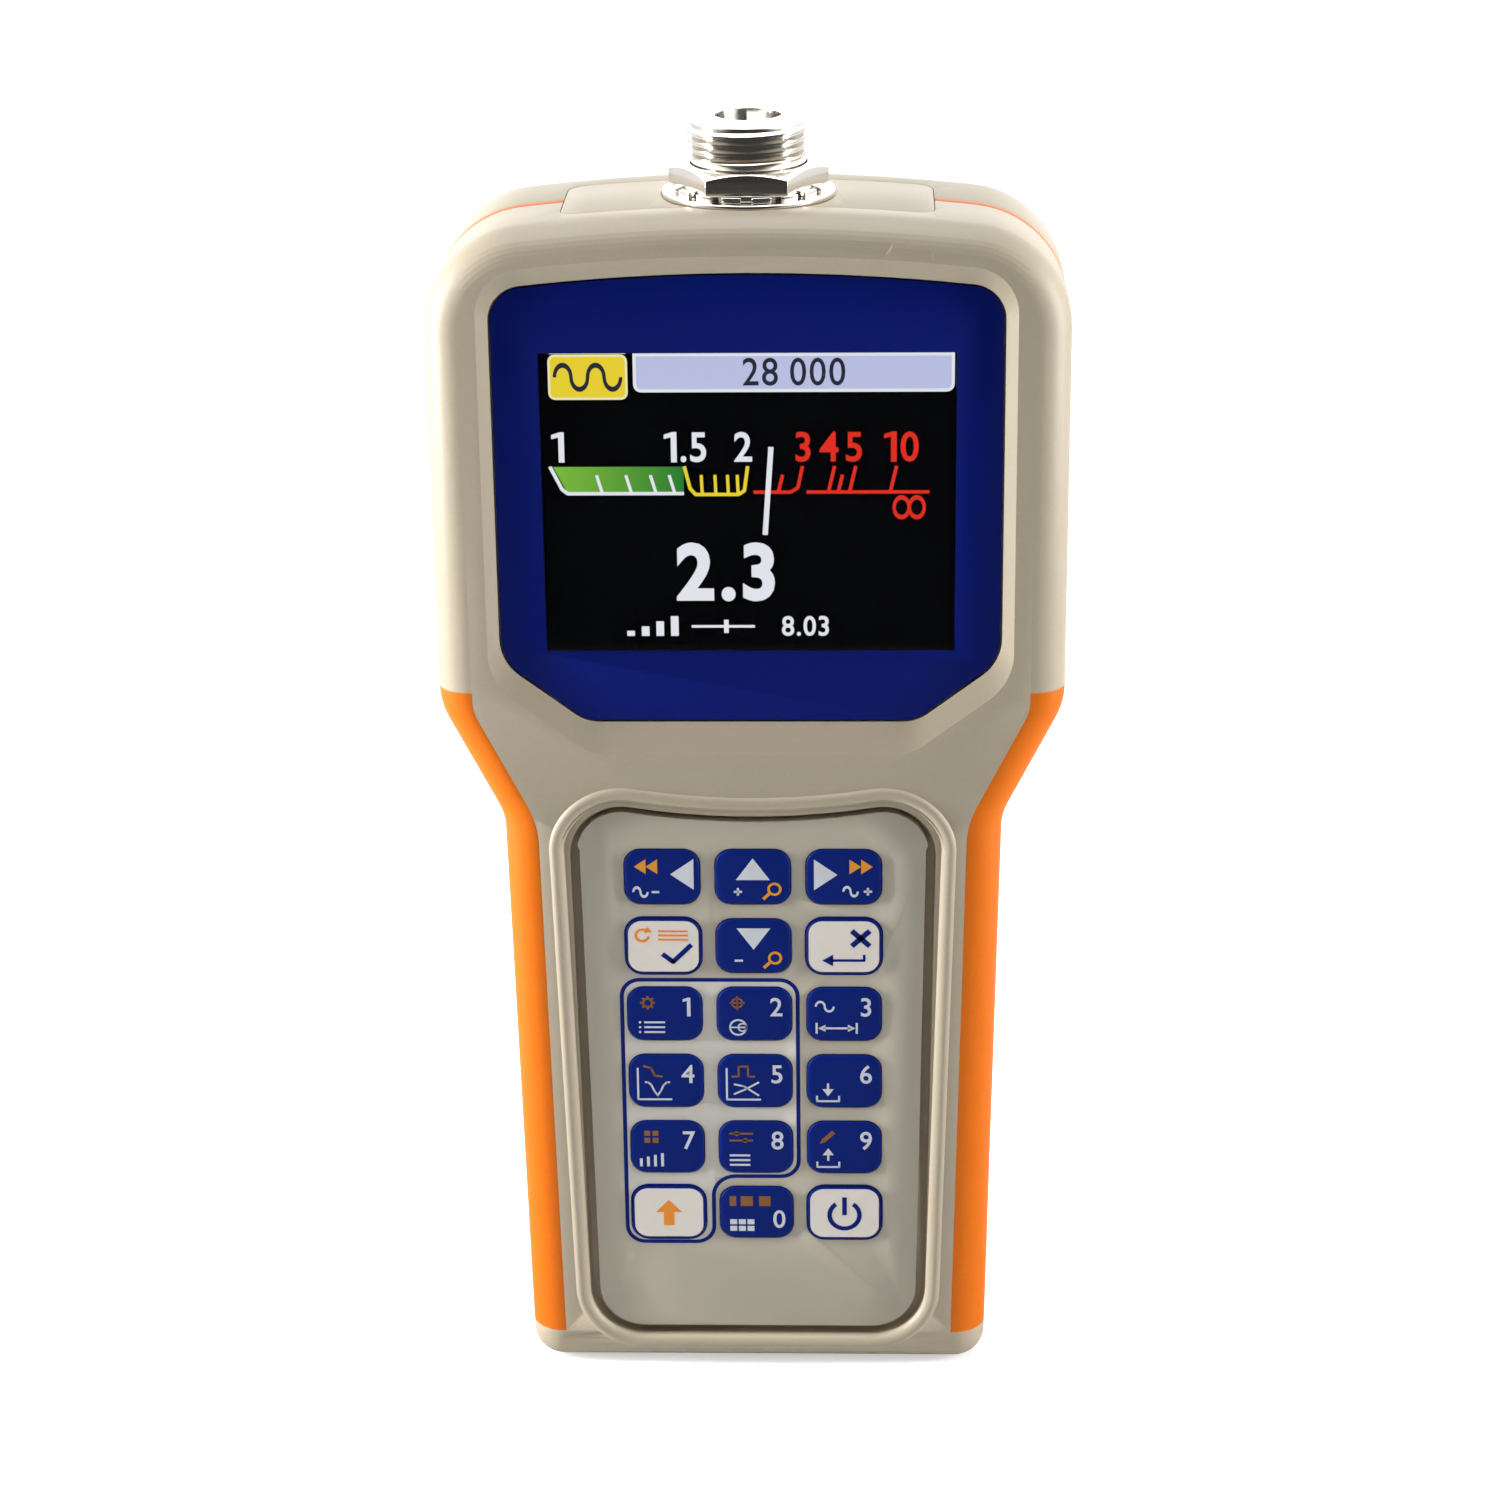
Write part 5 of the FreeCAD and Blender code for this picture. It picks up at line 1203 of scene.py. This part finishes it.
def screwShape(size):
    head, headHeight = size["head"], size["headHeight"]
    shape = bmesh.new()
    rim = bmesh.ops.create_circle(shape, cap_ends=False, segments=40, radius=head - crossScrew["rim"])
    outer = list({edge for vert in rim["verts"] for edge in vert.link_edges})
    arm = crossScrew["arm"] * head / crossScrew["forRadius"]
    width = crossScrew["armWidth"] * head / crossScrew["forRadius"]
    quarter = [(arm, -width), (arm, width), (width, width)]
    corners = []
    for turn in range(4):
        c, s = round(math.cos(turn * math.pi / 2)), round(math.sin(turn * math.pi / 2))
        corners += [shape.verts.new((x * c - y * s, x * s + y * c, 0)) for x, y in quarter]
    inner = [shape.edges.new(pair) for pair in zip(corners, corners[1:] + corners[:1])]
    bmesh.ops.triangle_fill(shape, use_beauty=True, use_dissolve=False, edges=outer + inner)
    depth = crossScrew["recess"] * headHeight / crossScrew["forHeight"]
    floor = pulledRing(shape, inner, crossScrew["taper"], depth)
    bmesh.ops.contextual_create(shape, geom=floor)
    ring = pulledRing(shape, outer, head / (head - crossScrew["rim"]), crossScrew["dome"])
    ring = pulledRing(shape, ring, 1.0, headHeight - crossScrew["dome"])
    ring = pulledRing(shape, ring, size["shank"] / head, 0.0)
    ring = pulledRing(shape, ring, 1.0, size["length"] - crossScrew["tip"])
    ring = pulledRing(shape, ring, crossScrew["tipShare"], crossScrew["tip"])
    bmesh.ops.contextual_create(shape, geom=ring)
    bmesh.ops.recalc_face_normals(shape, faces=shape.faces)
    return shape


def solidBoxes(nodeName):
    shape = copyOf(nodeName)
    left = set(shape.verts)
    boxes = []
    while left:
        island, queue = set(), [left.pop()]
        while queue:
            vert = queue.pop()
            island.add(vert)
            for edge in vert.link_edges:
                other = edge.other_vert(vert)
                if other in left:
                    left.remove(other)
                    queue.append(other)
        xs, ys, zs = zip(*[vert.co for vert in island])
        boxes.append((Vector((min(xs), min(ys), min(zs))), Vector((max(xs), max(ys), max(zs)))))
    shape.free()
    return boxes


def makeScrews(name, size):
    screws = bmesh.new()
    boxes = sorted(solidBoxes(size["node"]), key=lambda box: (box[0].z, box[0].x))
    for number, (low, high) in enumerate(boxes):
        screw = screwShape(size)
        turn = Matrix.Rotation(number * crossScrew["turnStep"], 4, "Z")
        place = (Matrix.Translation(((low.x + high.x) / 2, high.y, (low.z + high.z) / 2))
                 @ Matrix.Rotation(math.radians(-90), 4, "X") @ turn @ Matrix.Diagonal((mm, mm, mm, 1)))
        bmesh.ops.transform(screw, matrix=place, verts=screw.verts)
        joinSheet(screws, screw)
    finishPiece(name, screws, "steel", "casing", [size["node"]], math.radians(30))


for screwName, screwSize in screwSizes.items():
    makeScrews(screwName, screwSize)

cell = {"radius": 7.15, "roll": 0.45, "capRadius": 6.3, "capSink": 0.1, "lap": 0.2, "liningStep": 0.4,
        "liningRise": 0.6, "nub": 2.7, "nubHeight": 1.3, "nubRound": 0.3}


def makeCell(side):
    low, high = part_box(side + "_cell")
    middle = (low + high) / 2
    upright = max(nodes[side + "_cell"].data.vertices, key=lambda v: v.co.z)
    nub, nubRound = cell["nub"], cell["nubRound"]
    up = math.hypot(upright.co.x - middle.x, upright.co.y - middle.y) < (nub + nubRound) * mm
    length = (high.z - low.z) / mm - cell["nubHeight"]
    radius, roll, cap, sink = cell["radius"], cell["roll"], cell["capRadius"], cell["capSink"]
    mouth, lining, rise = cap - cell["lap"], cap - cell["liningStep"], cell["liningRise"]
    turn = Matrix.Identity(4) if up else Matrix.Rotation(math.radians(180), 4, "X")
    place = (Matrix.Translation((middle.x, middle.y, low.z if up else high.z)) @ turn
             @ Matrix.Diagonal((mm, mm, mm, 1)))
    jacket = turnedShape([(mouth, 0), (radius - roll, 0), (radius, roll), (radius, length - roll),
                          (radius - roll, length), (mouth, length), (lining, length - rise),
                          (lining, rise)], 48)
    bmesh.ops.transform(jacket, matrix=place, verts=jacket.verts)
    finishPiece(side + "CellJacket", jacket, "cellJacket", "casing", [side + "_cell"])
    tip = length + cell["nubHeight"]
    ends = turnedShape([(0, sink), (cap, sink), (cap, length - sink), (nub, length - sink),
                        (nub, tip - nubRound), (nub - nubRound, tip), (0, tip)], 40)
    bmesh.ops.transform(ends, matrix=place, verts=ends.verts)
    finishPiece(side + "CellEnds", ends, "steel", "casing")


for side in ("left", "right"):
    makeCell(side)
print("screws and cells made")


# --- stage, lamps and camera ---

# a span is where a change begins and ends, and its value at each end
stage = {"radius": 4.0, "white": 0.9, "rough": 0.9, "glow": 0.5, "dark": 0.06,
         "span": (-0.05, 0.05, 0.0, 1.0)}
surround = {"span": (-0.85, -0.35, 0.04, 2.8), "fill": 0.02}
lampTarget = (0, 0, 0.09)
lamps = {
    "topSun": {"kind": "SUN", "strength": 2.3, "angle": 50, "aim": (0.06, 0.03, -1.0),
               "tint": (0.96, 0.98, 1.0)},
    "leftBox": {"kind": "AREA", "power": 4.5, "size": (0.06, 0.3), "place": (-0.45, -0.055, 0.14),
                "tint": (1, 1, 1)},
    "rightBox": {"kind": "AREA", "power": 2.4, "size": (0.06, 0.3), "place": (0.45, -0.055, 0.14),
                 "tint": (1, 1, 1)},
}
view = {"place": (0.01516, -0.4600, 0.2597), "turn": (69.318, 0.641, 1.732), "lens": 87.25, "sensor": 36}


def changeAlongY(tree, row, vector, span):
    parts = addNode(tree, "ShaderNodeSeparateXYZ", -4, row)
    tree.links.new(vector, parts.inputs[0])
    change = addNode(tree, "ShaderNodeMapRange", -3, row, interpolation_type="SMOOTHSTEP")
    for label, value in zip(("From Min", "From Max", "To Min", "To Max"), span):
        change.inputs[label].default_value = value
    tree.links.new(parts.outputs["Y"], change.inputs["Value"])
    return change.outputs[0]


def makeStage():
    shape = bmesh.new()
    bmesh.ops.create_circle(shape, cap_ends=True, segments=96, radius=stage["radius"])
    mesh = bpy.data.meshes.new("floor")
    shape.to_mesh(mesh)
    shape.free()
    floor = bpy.data.objects.new("floor", mesh)
    bpy.context.scene.collection.objects.link(floor)
    material = bpy.data.materials.new("floorWhite")
    material.use_nodes = True
    tree = material.node_tree
    shader = tree.nodes["Principled BSDF"]
    shader.inputs["Base Color"].default_value = (stage["white"], stage["white"], stage["white"], 1)
    shader.inputs["Roughness"].default_value = stage["rough"]
    shader.inputs["Specular IOR Level"].default_value = 0.0
    rays = addNode(tree, "ShaderNodeLightPath", -5, 2)
    glow = addNode(tree, "ShaderNodeEmission", -1, 2)
    place = addNode(tree, "ShaderNodeTexCoord", -5, 4).outputs["Object"]
    tree.links.new(mathNode(tree, "MULTIPLY", -2, 3, rays.outputs["Is Camera Ray"], stage["glow"]),
                   glow.inputs["Strength"])
    both = addNode(tree, "ShaderNodeAddShader", 2, 0)
    tree.links.new(shader.outputs[0], both.inputs[0])
    tree.links.new(glow.outputs[0], both.inputs[1])
    behind = changeAlongY(tree, 4, place, stage["span"])
    mirror = addNode(tree, "ShaderNodeEmission", 0, 4)
    tree.links.new(mathNode(tree, "MAXIMUM", -2, 4, behind, stage["dark"]), mirror.inputs["Strength"])
    choice = addNode(tree, "ShaderNodeMixShader", 3, 1)
    tree.links.new(rays.outputs["Is Glossy Ray"], choice.inputs[0])
    tree.links.new(both.outputs[0], choice.inputs[1])
    tree.links.new(mirror.outputs[0], choice.inputs[2])
    output = tree.nodes["Material Output"]
    output.location = (900, 0)
    tree.links.new(choice.outputs[0], output.inputs["Surface"])
    mesh.materials.append(material)


def makeWorld():
    world = bpy.data.worlds.new("studio")
    bpy.context.scene.world = world
    world.use_nodes = True
    tree = world.node_tree
    background = tree.nodes["Background"]
    rays = addNode(tree, "ShaderNodeLightPath", -5, 0)
    direction = addNode(tree, "ShaderNodeTexCoord", -5, 2).outputs["Generated"]
    behind = changeAlongY(tree, 2, direction, surround["span"])
    mirrored = mathNode(tree, "MULTIPLY", -2, 1, rays.outputs["Is Glossy Ray"], behind)
    plain = mathNode(tree, "MULTIPLY", -2, 2, rays.outputs["Is Diffuse Ray"], surround["fill"])
    seen = mathNode(tree, "MAXIMUM", -2, 0, rays.outputs["Is Camera Ray"],
                    rays.outputs["Is Transmission Ray"])
    total = mathNode(tree, "MAXIMUM", -1, 0, mathNode(tree, "MAXIMUM", -1, 1, mirrored, plain), seen)
    background.inputs["Color"].default_value = (1, 1, 1, 1)
    tree.links.new(total, background.inputs["Strength"])


def makeLamps():
    for name, lamp in lamps.items():
        data = bpy.data.lights.new(name, lamp["kind"])
        light = bpy.data.objects.new(name, data)
        bpy.context.scene.collection.objects.link(light)
        if lamp["kind"] == "SUN":
            data.energy = lamp["strength"]
            data.angle = math.radians(lamp["angle"])
            aim = Vector(lamp["aim"])
        else:
            data.energy = lamp["power"]
            data.shape = "RECTANGLE"
            data.size, data.size_y = lamp["size"]
            light.location = lamp["place"]
            aim = Vector(lampTarget) - light.location
        data.color = lamp["tint"]
        light.rotation_euler = aim.to_track_quat("-Z", "Y").to_euler()


def makeCamera():
    data = bpy.data.cameras.new("camera")
    data.lens = view["lens"]
    data.sensor_width = view["sensor"]
    data.clip_start = 0.01
    camera = bpy.data.objects.new("camera", data)
    bpy.context.scene.collection.objects.link(camera)
    camera.location = view["place"]
    camera.rotation_euler = [math.radians(angle) for angle in view["turn"]]
    bpy.context.scene.camera = camera


makeStage()
makeWorld()
makeLamps()
makeCamera()
bpy.context.scene.view_settings.view_transform = "Standard"
print("stage, lamps and camera set")
